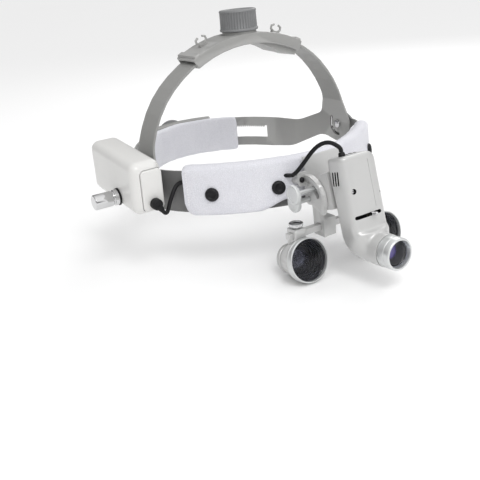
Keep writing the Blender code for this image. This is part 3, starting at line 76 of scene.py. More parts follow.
# Sizes shared with the CAD
TEMPLE_Y = 0.0207
TEMPLE_Z = 0.0080
BAND_X = 0.0977
YOKE_X = 0.0948
FRONT_Y = -0.0655
REAR_Y = 0.1500
FRONT_LEAN = math.radians(12)
PITCH = math.radians(14)
BEAM_PITCH = math.radians(3)
LAMP_TOP = Vector((0.0, -0.1038, 0.0228))
LAMP_HALF_WIDTH = 0.0160
LAMP_HALF_DEPTH = 0.0095
LENS_CENTRE = Vector((0.0, -0.1485, -0.0380))
TUBE_RADIUS = 0.0116
OBJECTIVE_Y = -0.0960
OBJECTIVE_Z = -0.0485
OBJECTIVE_RADIUS = 0.0163
PUPILS = {"left": 0.0385, "right": -0.0340}
BAR_Y = -0.0820
HOLDER_TOP = -0.0276
SNAP_T = -0.0025
SNAP_AT = [-0.0790, -0.0330, 0.0330, 0.0790]
CASE_LENGTH = 0.0778
CASE_HEIGHT = 0.0376
CASE_INNER_X = -0.1005
CASE_OUTER_X = -0.1250
CASE_FRONT_Y = -0.0140
CASE_TOP_Z = 0.0264
PLUG_X = -0.1098
PLUG_Z = -0.0045
CASE_PIVOT = Matrix.Translation((0, CASE_FRONT_Y, PLUG_Z))
CASE_TURN = CASE_PIVOT @ Matrix.Rotation(math.radians(4.7), 4, "X") @ CASE_PIVOT.inverted()
DOWN_THE_LAMP = Vector((0, -math.sin(PITCH), -math.cos(PITCH)))
BEAM = Vector((0, -math.cos(BEAM_PITCH), math.sin(BEAM_PITCH)))
VIEW = Vector((0, -math.cos(PITCH), math.sin(PITCH)))
LAMP_BODY = Matrix.Translation(LAMP_TOP) @ Matrix.Rotation(-PITCH, 4, "X")

CABLE_RADIUS = 0.0015
WIRE_HOLE = (-0.0074, 0.0005)       # where the wire enters the lamp's top, across and through
LEVER_Z = -0.0420                   # the lever slot's height below the lamp's top
LAMP_SCREW = (-0.0110, -0.0240)     # across the lamp's back and down it
SHARP = 35                          # degrees between faces from which an edge shows as sharp
FINE_EDGE = 0.00015
RIB_STANDS = 0.0003                 # how far a knob's ribs stand past its radius
LENS_RISE = 0.0022
LAMP_POINTS = 96                    # round each section of the lamp's body
CLOTH_FRAMES = 16

CAMERA_AT = (-0.29549, -0.44467, 0.1496)
CAMERA_FORWARD = Vector((0.4709, 0.7968, -0.3786))
CAMERA_UP = Vector((0.2792, 0.2724, 0.9208))
FOCAL_LENGTH = 50.55                # millimetres on a 36 mm sensor
FLOOR_SIZE = 20.0
FLOOR_DROP = 0.0005                 # the gap under the object's lowest point
BRIGHTEST = Vector((0.15, -0.70, 0.70))   # where the studio's light mostly comes from


# Camera, floor and light

def make_camera():
    data = bpy.data.cameras.new("camera")
    data.sensor_width = 36.0
    data.lens = FOCAL_LENGTH
    data.clip_start = 0.01
    data.clip_end = 20.0
    camera = bpy.data.objects.new("camera", data)
    bpy.context.scene.collection.objects.link(camera)
    forward = CAMERA_FORWARD.normalized()
    right = forward.cross(CAMERA_UP).normalized()
    turn = Matrix((right, right.cross(forward), -forward)).transposed().to_4x4()
    camera.matrix_world = Matrix.Translation(CAMERA_AT) @ turn
    bpy.context.scene.camera = camera


def ramp(tree, value, spread_from, spread_to, soft=False):
    """A Map Range node: the first (low, high) stretch of the value becomes the second."""
    made = tree.nodes.new("ShaderNodeMapRange")
    if soft:
        made.interpolation_type = "SMOOTHSTEP"
    amounts = (*spread_from, *spread_to)
    for name, amount in zip(("From Min", "From Max", "To Min", "To Max"), amounts):
        made.inputs[name].default_value = amount
    tree.links.new(value, made.inputs["Value"])
    return made.outputs["Result"]


def maths(tree, operation, *operands):
    """A Math node whose operands are sockets or numbers."""
    made = tree.nodes.new("ShaderNodeMath")
    made.operation = operation
    for socket, operand in zip(made.inputs, operands):
        if isinstance(operand, float):
            socket.default_value = operand
        else:
            tree.links.new(operand, socket)
    return made.outputs["Value"]


def noise_node(tree, where, scale, detail):
    made = tree.nodes.new("ShaderNodeTexNoise")
    made.inputs["Scale"].default_value = scale
    made.inputs["Detail"].default_value = detail
    tree.links.new(where, made.inputs["Vector"])
    return made


def make_floor():
    """A pale floor just below the object."""
    shape = bmesh.new()
    bmesh.ops.create_grid(shape, x_segments=4, y_segments=4, size=FLOOR_SIZE)
    bmesh.ops.translate(shape, vec=(0, 0, CAD_BOX[0].z - FLOOR_DROP), verts=shape.verts)
    floor = link_mesh("floor", shape)
    made = bpy.data.materials.new("floor_paper")
    made.use_nodes = True
    tree = made.node_tree
    shader = tree.nodes["Principled BSDF"]
    grain = tree.nodes.new("ShaderNodeTexNoise")
    grain.inputs["Scale"].default_value = 14.0
    tone = ramp(tree, grain.outputs["Fac"], (0.0, 1.0), (0.95, 0.97))
    tree.links.new(tone, shader.inputs["Base Color"])
    shader.inputs["Roughness"].default_value = 0.9
    shader.inputs["Specular IOR Level"].default_value = 0.0
    floor.data.materials.append(made)


def area_light(name, location, size, power):
    """A round soft light aimed at the middle of the head opening."""
    data = bpy.data.lights.new(name, "AREA")
    data.shape = "DISK"
    data.size = size
    data.energy = power
    light = bpy.data.objects.new(name, data)
    light.location = location
    light.rotation_euler = (-Vector(location)).to_track_quat("-Z", "Y").to_euler()
    bpy.context.scene.collection.objects.link(light)


def make_light():
    """A white studio, brighter high in front, with grey cards low down all round."""
    bpy.context.scene.view_settings.view_transform = "Standard"
    world = bpy.data.worlds.new("studio")
    bpy.context.scene.world = world
    world.use_nodes = True
    tree = world.node_tree
    back = tree.nodes["Background"]
    back.inputs["Color"].default_value = (1.0, 1.0, 1.0, 1.0)
    heading = tree.nodes.new("ShaderNodeTexCoord").outputs["Generated"]
    facing = tree.nodes.new("ShaderNodeVectorMath")
    facing.operation = "DOT_PRODUCT"
    facing.inputs[1].default_value = BRIGHTEST.normalized()
    tree.links.new(heading, facing.inputs[0])
    bright = ramp(tree, facing.outputs["Value"], (-0.6, 1.0), (0.32, 1.18), soft=True)
    cards = tree.nodes.new("ShaderNodeTexWave")
    cards.bands_direction = "X"
    cards.inputs["Scale"].default_value = 0.55
    tree.links.new(heading, cards.inputs["Vector"])
    height = tree.nodes.new("ShaderNodeSeparateXYZ")
    tree.links.new(heading, height.inputs["Vector"])
    low_down = ramp(tree, height.outputs["Z"], (0.10, 0.50), (0.85, 0.0), soft=True)
    darkened = maths(tree, "MULTIPLY", cards.outputs["Fac"], low_down)
    left = maths(tree, "SUBTRACT", 1.0, darkened)
    tree.links.new(maths(tree, "MULTIPLY", bright, left), back.inputs["Strength"])
    area_light("key", (-0.20, -0.80, 0.90), 0.45, 4.0)
    area_light("rim", (0.70, 0.50, 0.60), 0.50, 2.0)


# Meshes

def link_mesh(name, shape):
    mesh = bpy.data.meshes.new(name)
    shape.to_mesh(mesh)
    shape.free()
    piece = bpy.data.objects.new(name, mesh)
    bpy.context.scene.collection.objects.link(piece)
    return piece


def seen_mesh(thing):
    """The mesh that a curve, or a mesh with its modifiers, shows."""
    bpy.context.view_layer.update()
    seen = thing.evaluated_get(bpy.context.evaluated_depsgraph_get())
    return bpy.data.meshes.new_from_object(seen)


def freeze(piece):
    """Replace a piece's mesh by the mesh that its modifiers make."""
    mesh = seen_mesh(piece)
    piece.modifiers.clear()
    piece.data = mesh


def dress(piece, finish, body, stands_for=(), sharp=SHARP):
    """Give a piece its material, its shading and the body that it rides on."""
    if not piece.data.materials:
        piece.data.materials.append(material(finish))
    if piece.type == "MESH":
        piece.data.shade_smooth()
        piece.data.set_sharp_from_angle(angle=math.radians(sharp))
    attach(piece, body)
    if stands_for:
        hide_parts(*stands_for)


def skin(node, finish, edge):
    """A CAD piece again, its edges rounded and, unless it has a rack, its flat faces whole."""
    shape = bmesh.new()
    shape.from_mesh(frame["nodes"][node].data)
    bmesh.ops.remove_doubles(shape, verts=shape.verts, dist=0.00001)
    if node not in RACKED:
        bmesh.ops.dissolve_limit(shape, angle_limit=math.radians(1.0), verts=shape.verts,
                                 edges=shape.edges)
    piece = link_mesh(node + "_skin", shape)
    dress(piece, finish, NODE_BODY[node], [node])
    step = piece.modifiers.new("edges", "BEVEL")
    step.width = edge
    step.segments = 2
    step.limit_method = "ANGLE"
    step.angle_limit = math.radians(SHARP)
    step.use_clamp_overlap = True
    step.harden_normals = True


def along(location, direction):
    """A frame at a location whose Z axis is the direction."""
    turn = Vector(direction).to_track_quat("Z", "Y").to_matrix().to_4x4()
    return Matrix.Translation(Vector(location)) @ turn


def turned(name, profile, place, sides, closed=False):
    """Turn a profile of (radius, height) points about the Z axis of its place."""
    shape = bmesh.new()
    rings = []
    for radius, height in profile:
        if radius < 1e-7:
            rings.append([shape.verts.new((0, 0, height))])
            continue
        rings.append([shape.verts.new((radius * math.cos(a), radius * math.sin(a), height))
                      for a in np.linspace(0, 2 * math.pi, sides, endpoint=False)])
    pairs = list(zip(rings, rings[1:]))
    if closed:
        pairs.append((rings[-1], rings[0]))
    for upper, lower in pairs:
        for i in range(sides):
            j = (i + 1) % sides
            corners = [upper[i % len(upper)], upper[j % len(upper)],
                       lower[j % len(lower)], lower[i % len(lower)]]
            corners = list(dict.fromkeys(corners))
            if len(corners) > 2:
                shape.faces.new(corners)
    bmesh.ops.recalc_face_normals(shape, faces=shape.faces)
    shape.transform(place)
    return link_mesh(name, shape)


def loft(name, rings, place=Matrix()):
    """Join rings of points one to the next and close both ends."""
    shape = bmesh.new()
    made = [[shape.verts.new(point) for point in ring] for ring in rings]
    count = len(made[0])
    for lower, upper in zip(made, made[1:]):
        for i in range(count):
            j = (i + 1) % count
            shape.faces.new((lower[i], lower[j], upper[j], upper[i]))
    shape.faces.new(list(reversed(made[0])))
    shape.faces.new(made[-1])
    bmesh.ops.recalc_face_normals(shape, faces=shape.faces)
    shape.transform(place)
    return link_mesh(name, shape)


def smooth_tube(name, points):
    """A cable as a curve with a round section."""
    curve = bpy.data.curves.new(name, "CURVE")
    curve.dimensions = "3D"
    curve.bevel_depth = CABLE_RADIUS
    curve.bevel_resolution = 6
    curve.use_fill_caps = True
    spline = curve.splines.new("POLY")
    spline.points.add(len(points) - 1)
    for point, spot in zip(spline.points, points):
        point.co = (*spot, 1.0)
    spline.use_smooth = True
    wire = bpy.data.objects.new(name, curve)
    bpy.context.scene.collection.objects.link(wire)
    return wire


def meshed(tube):
    """The same tube as a mesh, in the curve's place."""
    mesh = seen_mesh(tube)
    name = tube.name
    bpy.data.objects.remove(tube, do_unlink=True)
    piece = bpy.data.objects.new(name, mesh)
    bpy.context.scene.collection.objects.link(piece)
    return piece


def rounded_block(name, size, edge, segments, place):
    shape = bmesh.new()
    bmesh.ops.create_cube(shape, size=1.0)
    bmesh.ops.scale(shape, vec=size, verts=shape.verts)
    bmesh.ops.bevel(shape, geom=shape.edges[:], offset=edge, segments=segments, profile=0.5,
                    affect="EDGES")
    shape.transform(place)
    return link_mesh(name, shape)


def cut(piece, tool, finish):
    """Cut a recess whose walls take another finish."""
    tool.data.materials.clear()
    tool.data.materials.append(material(finish))
    step = piece.modifiers.new("cut", "BOOLEAN")
    step.operation = "DIFFERENCE"
    step.solver = "EXACT"
    step.material_mode = "TRANSFER"
    step.object = tool
    freeze(piece)
    bpy.data.objects.remove(tool, do_unlink=True)


# Routes of the two bands

def spline_points(controls, spacing):
    """Points close together on the natural cubic spline through the controls."""
    knots = np.array(controls, float)
    steps = np.linalg.norm(np.diff(knots, axis=0), axis=1)
    count = len(knots)
    system = np.eye(count)
    right = np.zeros((count, knots.shape[1]))
    for i in range(1, count - 1):
        system[i, i - 1] = steps[i - 1]
        system[i, i] = 2 * (steps[i - 1] + steps[i])
        system[i, i + 1] = steps[i]
        slope_after = (knots[i + 1] - knots[i]) / steps[i]
        slope_before = (knots[i] - knots[i - 1]) / steps[i - 1]
        right[i] = 6 * (slope_after - slope_before)
    bends = np.linalg.solve(system, right)
    rows = []
    for i, step in enumerate(steps):
        inside = max(2, int(round(step / spacing)))
        for k in range(inside):
            u = step * k / inside
            v = step - u
            rows.append((bends[i] * v ** 3 + bends[i + 1] * u ** 3) / (6 * step)
                        + (knots[i] / step - bends[i] * step / 6) * v
                        + (knots[i + 1] / step - bends[i + 1] * step / 6) * u)
    rows.append(knots[-1])
    return np.array(rows)


class Route:
    """A plane curve measured by its length, with its outward normal."""

    def __init__(self, controls, zero_at):
        self.points = spline_points(controls, 0.0005)
        gaps = np.linalg.norm(np.diff(self.points, axis=0), axis=1)
        self.length = np.concatenate(([0.0], np.cumsum(gaps)))
        self.length -= self.length[self.index(zero_at)]
        slope = np.gradient(self.points, axis=0)
        self.slope = slope / np.linalg.norm(slope, axis=1)[:, None]

    def index(self, spot):
        return int(np.argmin(np.linalg.norm(self.points - np.array(spot), axis=1)))

    def at(self, s):
        spot = [np.interp(s, self.length, self.points[:, axis]) for axis in (0, 1)]
        tx, ty = (np.interp(s, self.length, self.slope[:, axis]) for axis in (0, 1))
        size = math.hypot(tx, ty)
        return spot, (ty / size, -tx / size)


def mirrored(half):
    return [(-x, y) for x, y in reversed(half[1:])] + half


FRONT_HALF = [(0.0, FRONT_Y), (0.0320, -0.0585), (0.0700, -0.0345), (0.0915, -0.0090),
              (0.0970, 0.0060), (BAND_X, TEMPLE_Y), (0.0980, 0.0400)]
REAR_HALF = [(YOKE_X, -0.0100), (YOKE_X + 0.0002, 0.0060), (YOKE_X, TEMPLE_Y), (0.0940, 0.0380),
             (0.0843, 0.0700), (0.0640, 0.1120), (0.0350, 0.1395), (0.0, REAR_Y)]
front_route = Route(mirrored(FRONT_HALF), (0.0, FRONT_Y))
rear_route = Route(REAR_HALF + [(-x, y) for x, y in reversed(REAR_HALF[:-1])], (0.0, REAR_Y))
TEMPLE_S = float(front_route.length[front_route.index((BAND_X, TEMPLE_Y))])


def smooth(value, low, high):
    share = min(1.0, max(0.0, (value - low) / (high - low)))
    return share * share * (3 - 2 * share)


def front_place(s, t, n):
    """A point of the front band: s along it, t up it and n out of it."""
    point, outward = front_route.at(s)
    lean = FRONT_LEAN * (1 - smooth(abs(s), 0.0300, TEMPLE_S - 0.0220))
    out = n * math.cos(lean) - t * math.sin(lean)
    up = t * math.cos(lean) + n * math.sin(lean)
    return Vector((point[0] + outward[0] * out, point[1] + outward[1] * out, up))


def rear_place(s, t, n):
    """A point of the rear band: s along it from its middle, t up from the pivots' height."""
    point, outward = rear_route.at(s)
    return Vector((point[0] + outward[0] * n, point[1] + outward[1] * n, TEMPLE_Z + t))


# Materials

FINISHES = {
    # name: slot, base colour, second colour, roughness, metallic
    "grey_plastic": ("grey_plastic", (0.270, 0.270, 0.262), (0.305, 0.303, 0.295), 0.42, 0.0),
    "knob_plastic": ("grey_plastic", (0.165, 0.168, 0.172), (0.195, 0.197, 0.200), 0.40, 0.0),
    # the grey plastic again, darker as painted shade, for the front band
    "grey_plastic_painted_shade": ("grey_plastic", (0.080, 0.080, 0.080), (0.100, 0.100, 0.099), 0.46, 0.0),
    "leather": ("white_leather", (0.69, 0.69, 0.745), (0.78, 0.78, 0.820), 0.48, 0.0),
    "leather_edge": ("white_leather", (0.60, 0.60, 0.63), (0.68, 0.68, 0.70), 0.75, 0.0),
    "thread": ("white_leather", (0.80, 0.80, 0.82), (0.86, 0.86, 0.87), 0.70, 0.0),
    "case_plastic": ("case_plastic", (0.67, 0.665, 0.65), (0.72, 0.715, 0.70), 0.30, 0.0),
    "silver_paint": ("silver_paint", (0.52, 0.52, 0.515), (0.575, 0.575, 0.57), 0.36, 0.30),
    "satin_metal": ("silver_paint", (0.60, 0.61, 0.61), (0.67, 0.68, 0.68), 0.34, 0.70),
    "chrome": ("chrome", (0.60, 0.60, 0.61), (0.66, 0.66, 0.66), 0.08, 1.0),
    "black_plastic": ("black_plastic", (0.006, 0.006, 0.007), (0.013, 0.013, 0.015), 0.36, 0.0),
    "black_rubber": ("black_rubber", (0.006, 0.006, 0.007), (0.012, 0.012, 0.013), 0.50, 0.0),
    "steel": ("steel", (0.55, 0.55, 0.56), (0.66, 0.66, 0.67), 0.22, 1.0),
    # black in the loupe barrels and behind the lamp lens; near-black on the walls of cut vents,
    # slot, holes and the case's groove as painted shade
    "black_inside_and_painted_shade": ("black_plastic", (0.004, 0.004, 0.005), (0.008, 0.008, 0.010), 0.45, 0.0),
    "lens": ("glass", (0.70, 0.72, 0.82), (0.80, 0.81, 0.90), 0.03, 0.0),
    "inner_lens": ("glass", (0.008, 0.008, 0.011), (0.030, 0.030, 0.038), 0.06, 0.0),
    # purple colours: a painted reflection on the lamp's inner lens
    "lens_painted_reflection": ("glass", (0.05, 0.035, 0.11), (0.36, 0.25, 0.62), 0.10, 0.0),
    # the yellow filter coloured near-black as painted shade inside the lamp
    "filter_painted_shade": ("yellow_glass", (0.016, 0.012, 0.004), (0.024, 0.018, 0.006), 0.30, 0.0),
    "cell_wrap": ("cell_wrap", (0.08, 0.22, 0.42), (0.10, 0.26, 0.48), 0.40, 0.0),
    "circuit_board": ("circuit_board", (0.02, 0.16, 0.06), (0.04, 0.22, 0.09), 0.50, 0.0),
    "aluminium": ("aluminium", (0.66, 0.66, 0.68), (0.74, 0.74, 0.76), 0.32, 1.0),
}
# name: grain's scale per metre, its height in metres, edge wear
GRAIN = {
    "grey_plastic": (2600, 0.000035, 0.10),
    "knob_plastic": (2600, 0.000030, 0.10),
    "grey_plastic_painted_shade": (2600, 0.000035, 0.05),
    "leather": (900, 0.00022, 0.0),
    "leather_edge": (1500, 0.00010, 0.0),
    "thread": (4000, 0.00010, 0.0),
    "case_plastic": (3200, 0.000012, 0.04),
    "silver_paint": (2200, 0.000014, 0.06),
    "satin_metal": (1800, 0.000010, 0.05),
    "chrome": (900, 0.000004, 0.0),
    "black_plastic": (2400, 0.000030, 0.01),
    "black_rubber": (1800, 0.000050, 0.01),
    "steel": (1500, 0.000015, 0.05),
    "black_inside_and_painted_shade": (1500, 0.000020, 0.0),
    "lens": (120, 0.0, 0.0),
    "inner_lens": (160, 0.0, 0.0),
    "lens_painted_reflection": (160, 0.0, 0.0),
    "filter_painted_shade": (200, 0.0, 0.0),
    "cell_wrap": (900, 0.000010, 0.0),
    "circuit_board": (900, 0.000020, 0.0),
    "aluminium": (1400, 0.000015, 0.03),
}
# What is the same all over a finish: its coat, sheen and coating colours
MATT = {"Specular IOR Level": 0.22}
EXTRAS = {
    "leather": {"Sheen Weight": 0.08, "Specular IOR Level": 0.35},
    "case_plastic": {"Coat Weight": 0.25, "Coat Roughness": 0.12},
    "silver_paint": {"Coat Weight": 0.20, "Coat Roughness": 0.20},
    "black_plastic": MATT,
    "black_rubber": MATT,
    "black_inside_and_painted_shade": MATT,
    "lens": {"Transmission Weight": 1.0, "IOR": 1.28},
    "inner_lens": {"Coat Weight": 0.8, "Coat Roughness": 0.02},
    # the purple coat tint is part of the painted reflection
    "lens_painted_reflection": {"Coat Weight": 0.8, "Coat Roughness": 0.02,
                  "Coat Tint": (0.70, 0.62, 1.0, 1.0)},
}


def material(name):
    found = bpy.data.materials.get("look_" + name)
    return found or make_material(name)


def make_material(name):
    """A Principled material with clouds of tone, grain, uneven gloss and worn edges."""
    _, colour, second, roughness, metallic = FINISHES[name]
    scale, height, wear = GRAIN[name]
    made = bpy.data.materials.new("look_" + name)
    made.use_nodes = True
    tree = made.node_tree
    shader = tree.nodes["Principled BSDF"]
    shader.inputs["Metallic"].default_value = metallic
    where = tree.nodes.new("ShaderNodeTexCoord").outputs["Object"]

    clouds = noise_node(tree, where, 55.0, 5.0)
    tone = tree.nodes.new("ShaderNodeMix")
    tone.data_type = "RGBA"
    tone.inputs["A"].default_value = (*colour, 1.0)
    tone.inputs["B"].default_value = (*second, 1.0)
    tree.links.new(clouds.outputs["Fac"], tone.inputs["Factor"])
    shade = tone.outputs["Result"]

    fine = noise_node(tree, where, scale, 3.0)
    relief = fine.outputs["Fac"]
    if name == "leather":
        relief, shade = leather_relief(tree, where, fine, shade)
    if wear:
        shade = worn_edges(tree, shade, second, wear)
    tree.links.new(shade, shader.inputs["Base Color"])

    gloss = noise_node(tree, where, 190.0, 6.0)
    spread = ramp(tree, gloss.outputs["Fac"], (0.0, 1.0),
                  (roughness * 0.82, min(1.0, roughness * 1.22)))
    tree.links.new(spread, shader.inputs["Roughness"])

    if height:
        bump = tree.nodes.new("ShaderNodeBump")
        bump.inputs["Strength"].default_value = 0.7
        bump.inputs["Distance"].default_value = height
        tree.links.new(relief, bump.inputs["Height"])
        tree.links.new(bump.outputs["Normal"], shader.inputs["Normal"])
    for socket, value in EXTRAS.get(name, {}).items():
        shader.inputs[socket].default_value = value
    return made


def leather_relief(tree, where, fine, shade):
    """Pebbled grain: soft cells with creases between them, the creases darkened as painted shade.
    """
    bent = tree.nodes.new("ShaderNodeVectorMath")
    bent.operation = "MULTIPLY_ADD"
    tree.links.new(fine.outputs["Color"], bent.inputs[0])
    bent.inputs[1].default_value = (0.0005, 0.0005, 0.0005)
    tree.links.new(where, bent.inputs[2])
    cells = tree.nodes.new("ShaderNodeTexVoronoi")
    cells.feature = "DISTANCE_TO_EDGE"
    cells.inputs["Scale"].default_value = 820.0
    tree.links.new(bent.outputs["Vector"], cells.inputs["Vector"])
    crease = ramp(tree, cells.outputs["Distance"], (0.0, 0.22), (0.0, 1.0), soft=True)
    folds = noise_node(tree, where, 130.0, 4.0)
    total = maths(tree, "MULTIPLY_ADD", folds.outputs["Fac"], 1.4, crease)
    # painted shade: the colour is darkened by up to a tenth in the creases
    painted_crease_shade = tree.nodes.new("ShaderNodeMix")
    painted_crease_shade.data_type = "RGBA"
    painted_crease_shade.blend_type = "MULTIPLY"
    painted_crease_shade.inputs["Factor"].default_value = 1.0
    tree.links.new(shade, painted_crease_shade.inputs["A"])
    tree.links.new(ramp(tree, crease, (0.0, 1.0), (0.90, 1.0)), painted_crease_shade.inputs["B"])
    return total, painted_crease_shade.outputs["Result"]


def worn_edges(tree, shade, second, wear):
    """Corners rubbed a little brighter than the faces."""
    geometry = tree.nodes.new("ShaderNodeNewGeometry")
    edge = ramp(tree, geometry.outputs["Pointiness"], (0.53, 0.62), (0.0, 0.75))
    lighter = tree.nodes.new("ShaderNodeMix")
    lighter.data_type = "RGBA"
    lighter.inputs["B"].default_value = (*[min(1.0, c + wear) for c in second], 1.0)
    tree.links.new(edge, lighter.inputs["Factor"])
    tree.links.new(shade, lighter.inputs["A"])
    return lighter.outputs["Result"]


# CAD pieces whose own shape shows

SKINS = {
    "grey_plastic": ["yoke_left", "yoke_right", "crown_housing", "rear_housing"],
    # the front band takes the grey plastic darkened as painted shade
    "grey_plastic_painted_shade": ["front_band"],
    "silver_paint": ["front_bracket", "lamp_carrier", "loupe_arm", "pupil_bar",
                     "loupe_holder_left", "loupe_holder_right", "lamp_rear_cover"],
    "black_plastic": ["crown_pinion", "rear_pinion", "case_bracket", "cell_holder",
                      "bracket_screw_side", "bracket_screw_middle"],
    "black_rubber": ["dimmer_bush"],
    "steel": ["temple_screw_left", "temple_screw_right", "temple_nut_left", "temple_nut_right"],
    "chrome": ["dimmer_knob"],
    "inner_lens": ["eyepiece_lens_left", "eyepiece_lens_right", "condenser_lens"],
    "cell_wrap": ["battery_cell"],
    "circuit_board": ["driver_board", "led_board"],
    "aluminium": ["heat_sink"],
}
RACKED = ("yoke_left", "yoke_right")
SOFT_EDGE = {"front_band": 0.0004, "crown_housing": 0.0003, "rear_housing": 0.0004}


def make_skins():
    """The plain parts, with their CAD shape."""
    for finish, nodes in SKINS.items():
        for node in nodes:
            skin(node, finish, SOFT_EDGE.get(node, FINE_EDGE))


# Fine pieces

def make_knob(node, radius, height, place):
    """A fluted cap with a plain rim at its top and its foot."""
    flutes = 40
    levels = [(0.0, 0.0004, 0), (0.0004, 0.0, 0), (0.0016, 0.0, 0), (0.0019, 0.0003, 0),
              (0.0022, 0.0006, 1), (height * 0.5, 0.0007, 1), (height - 0.0020, 0.0008, 1),
              (height - 0.0014, 0.0005, 0), (height - 0.0007, 0.0006, 0),
              (height - 0.0002, 0.0010, 0), (height, 0.0016, 0)]
    levels += [(height - drop, radius * (1 - share) + RIB_STANDS, 0)
               for share, drop in ((0.80, 0.0), (0.76, 0.0004), (0.30, 0.0004))]
    angles = np.linspace(0, 2 * math.pi, flutes * 8, endpoint=False)
    rings = []
    for up, inset, fluted in levels:
        ring = []
        for angle in angles:
            wave = max(0.0, math.cos(flutes * angle)) ** 0.7
            r = radius + RIB_STANDS - inset - 0.0006 * wave * fluted
            ring.append((r * math.cos(angle), r * math.sin(angle), up))
        rings.append(ring)
    dress(loft(node + "_fine", rings, place), "knob_plastic", node, [node], 50)


def make_knobs():
    low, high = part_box("crown_knob")
    middle = (low + high) / 2
    make_knob("crown_knob", 0.0148, high.z - low.z,
              Matrix.Translation((middle.x, middle.y, low.z)))
    low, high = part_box("rear_knob")
    middle = (low + high) / 2
    make_knob("rear_knob", 0.0160, high.y - low.y,
              Matrix.Translation((middle.x, low.y, middle.z)) @ Matrix.Rotation(
                  -math.pi / 2, 4, "X"))


def make_snaps():
    """Press studs: a domed cap with a raised lip and a shallow middle."""
    base = 0.0069
    profile = [(0.0, base + 0.0013), (0.0018, base + 0.0013), (0.0025, base + 0.0015),
               (0.0030, base + 0.0021), (0.0036, base + 0.0021), (0.0044, base + 0.0016),
               (0.0050, base + 0.0007), (0.0051, base), (0.0046, base - 0.0004),
               (0.0, base - 0.0004)]
    for i, s in enumerate(SNAP_AT):
        spot = front_place(s, SNAP_T, 0.0)
        out = front_place(s, SNAP_T, 0.001) - spot
        piece = turned(f"snap_cap_{i + 1}", profile, along(spot, out), 64)
        dress(piece, "black_plastic", "front_frame", [f"snap_button_{i + 1}"])


def knurled(piece, place, radius, low, high, count, depth):
    """Press a straight knurl into a turned piece between two heights."""
    back = place.inverted()
    for vert in piece.data.vertices:
        spot = back @ vert.co
        reach = math.hypot(spot.x, spot.y)
        if low < spot.z < high and reach > radius - 0.0004:
            angle = math.atan2(spot.y, spot.x)
            pinch = depth * (0.5 + 0.5 * math.cos(count * angle))
            spot.xy *= (reach - pinch) / reach
            vert.co = place @ spot


def lens_dome(name, place, radius, base, body, stands_for):
    """A clear front element: a shallow dome with a flat back."""
    profile = [(radius * math.sin(a), base + LENS_RISE * math.cos(a) ** 2)
               for a in np.linspace(0.0, math.pi / 2, 14)]
    profile += [(radius, base - 0.0012), (0.0, base - 0.0012)]
    profile[0] = (0.0, profile[0][1])
    piece = turned(name, profile, place, 96)
    dress(piece, "lens", body, stands_for, 40)


def make_loupes():
    """The barrels with their grips, the objective rings, and what shows behind the glass."""
    for side_name, x in PUPILS.items():
        place = along((x, OBJECTIVE_Y, OBJECTIVE_Z), VIEW)
        body = f"loupe_{side_name}"
        r = OBJECTIVE_RADIUS
        ring = [(r - 0.0009, 0.0), (r - 0.0004, -0.0001), (r - 0.0001, -0.0004), (r, -0.0010),
                (r, -0.0036), (r - 0.0003, -0.0039), (r - 0.0003, -0.0042), (r, -0.0045),
                (r - 0.0001, -0.0050), (0.0151, -0.0050), (0.0151, -0.0008)]
        piece = turned(f"objective_rim_{side_name}", ring, place, 128, closed=True)
        dress(piece, "satin_metal", body, [f"objective_ring_{side_name}"], 30)
        back = -0.0225
        cup = back - 0.0042
        barrel = [(0.0156, -0.0053), (0.0156, -0.0078), (0.0153, -0.0084), (0.0132, -0.0148),
                  (0.0114, -0.0202), (0.0110, -0.0208), (0.0108, -0.0212), (0.0108, back),
                  (0.0112, back - 0.0003), (0.0112, back - 0.0012), (0.0112, back - 0.0026),
                  (0.0112, cup + 0.0009), (0.0110, cup + 0.0003), (0.0106, cup), (0.0090, cup),
                  (0.0090, cup + 0.0016), (0.0096, cup + 0.0016), (0.0096, -0.0200),
                  (0.0138, -0.0080), (0.0138, -0.0053)]
        piece = turned(f"barrel_body_{side_name}", barrel, place, 240, closed=True)
        knurled(piece, place, 0.0112, cup + 0.0003, back - 0.0010, 48, 0.0003)
        dress(piece, "silver_paint", body, [f"barrel_{side_name}"], 30)
        steps = [(0.0149, -0.0036), (0.0144, -0.0037), (0.0144, -0.0051), (0.0136, -0.0052),
                 (0.0136, -0.0055), (0.0131, -0.0056), (0.0131, -0.0072), (0.0122, -0.0073),
                 (0.0122, -0.0100), (0.0112, -0.0101), (0.0112, -0.0130), (0.0100, -0.0131),
                 (0.0100, -0.0150), (0.0, -0.0152)]
        piece = turned(f"barrel_baffle_{side_name}", steps, place, 64)
        dress(piece, "black_inside_and_painted_shade", body)
        inner = [(0.0098, -0.0149), (0.0092, -0.0139), (0.0070, -0.0124), (0.0040, -0.0115),
                 (0.0, -0.0112)]
        piece = turned(f"barrel_inner_lens_{side_name}", inner, place, 64)
        dress(piece, "inner_lens", body)
        lens_dome(f"objective_glass_{side_name}", place, 0.0149, -0.0022, body,
                  [f"objective_lens_{side_name}"])
        make_loupe_screw(side_name, x)


def make_loupe_screw(side_name, x):
    """A knurled thumbscrew with a dished top on a short neck."""
    place = along((x, BAR_Y, HOLDER_TOP), (0, 0, 1))
    knob = [(0.0, 0.0034), (0.0030, 0.0034), (0.0034, 0.0036), (0.0038, 0.0040), (0.0047, 0.0040),
            (0.0051, 0.0038), (0.0052, 0.0035), (0.0052, 0.0028), (0.0052, 0.0021),
            (0.0051, 0.0018), (0.0046, 0.0015), (0.0032, 0.0015), (0.0029, 0.0012),
            (0.0029, 0.0003), (0.0015, 0.0003), (0.0015, -0.0021), (0.0, -0.0021)]
    piece = turned(f"loupe_knob_{side_name}", knob, place, 180)
    knurled(piece, place, 0.0052, 0.0020, 0.0036, 30, 0.00035)
    dress(piece, "chrome", f"loupe_thumbscrew_{side_name}", [f"loupe_thumbscrew_{side_name}"], 30)


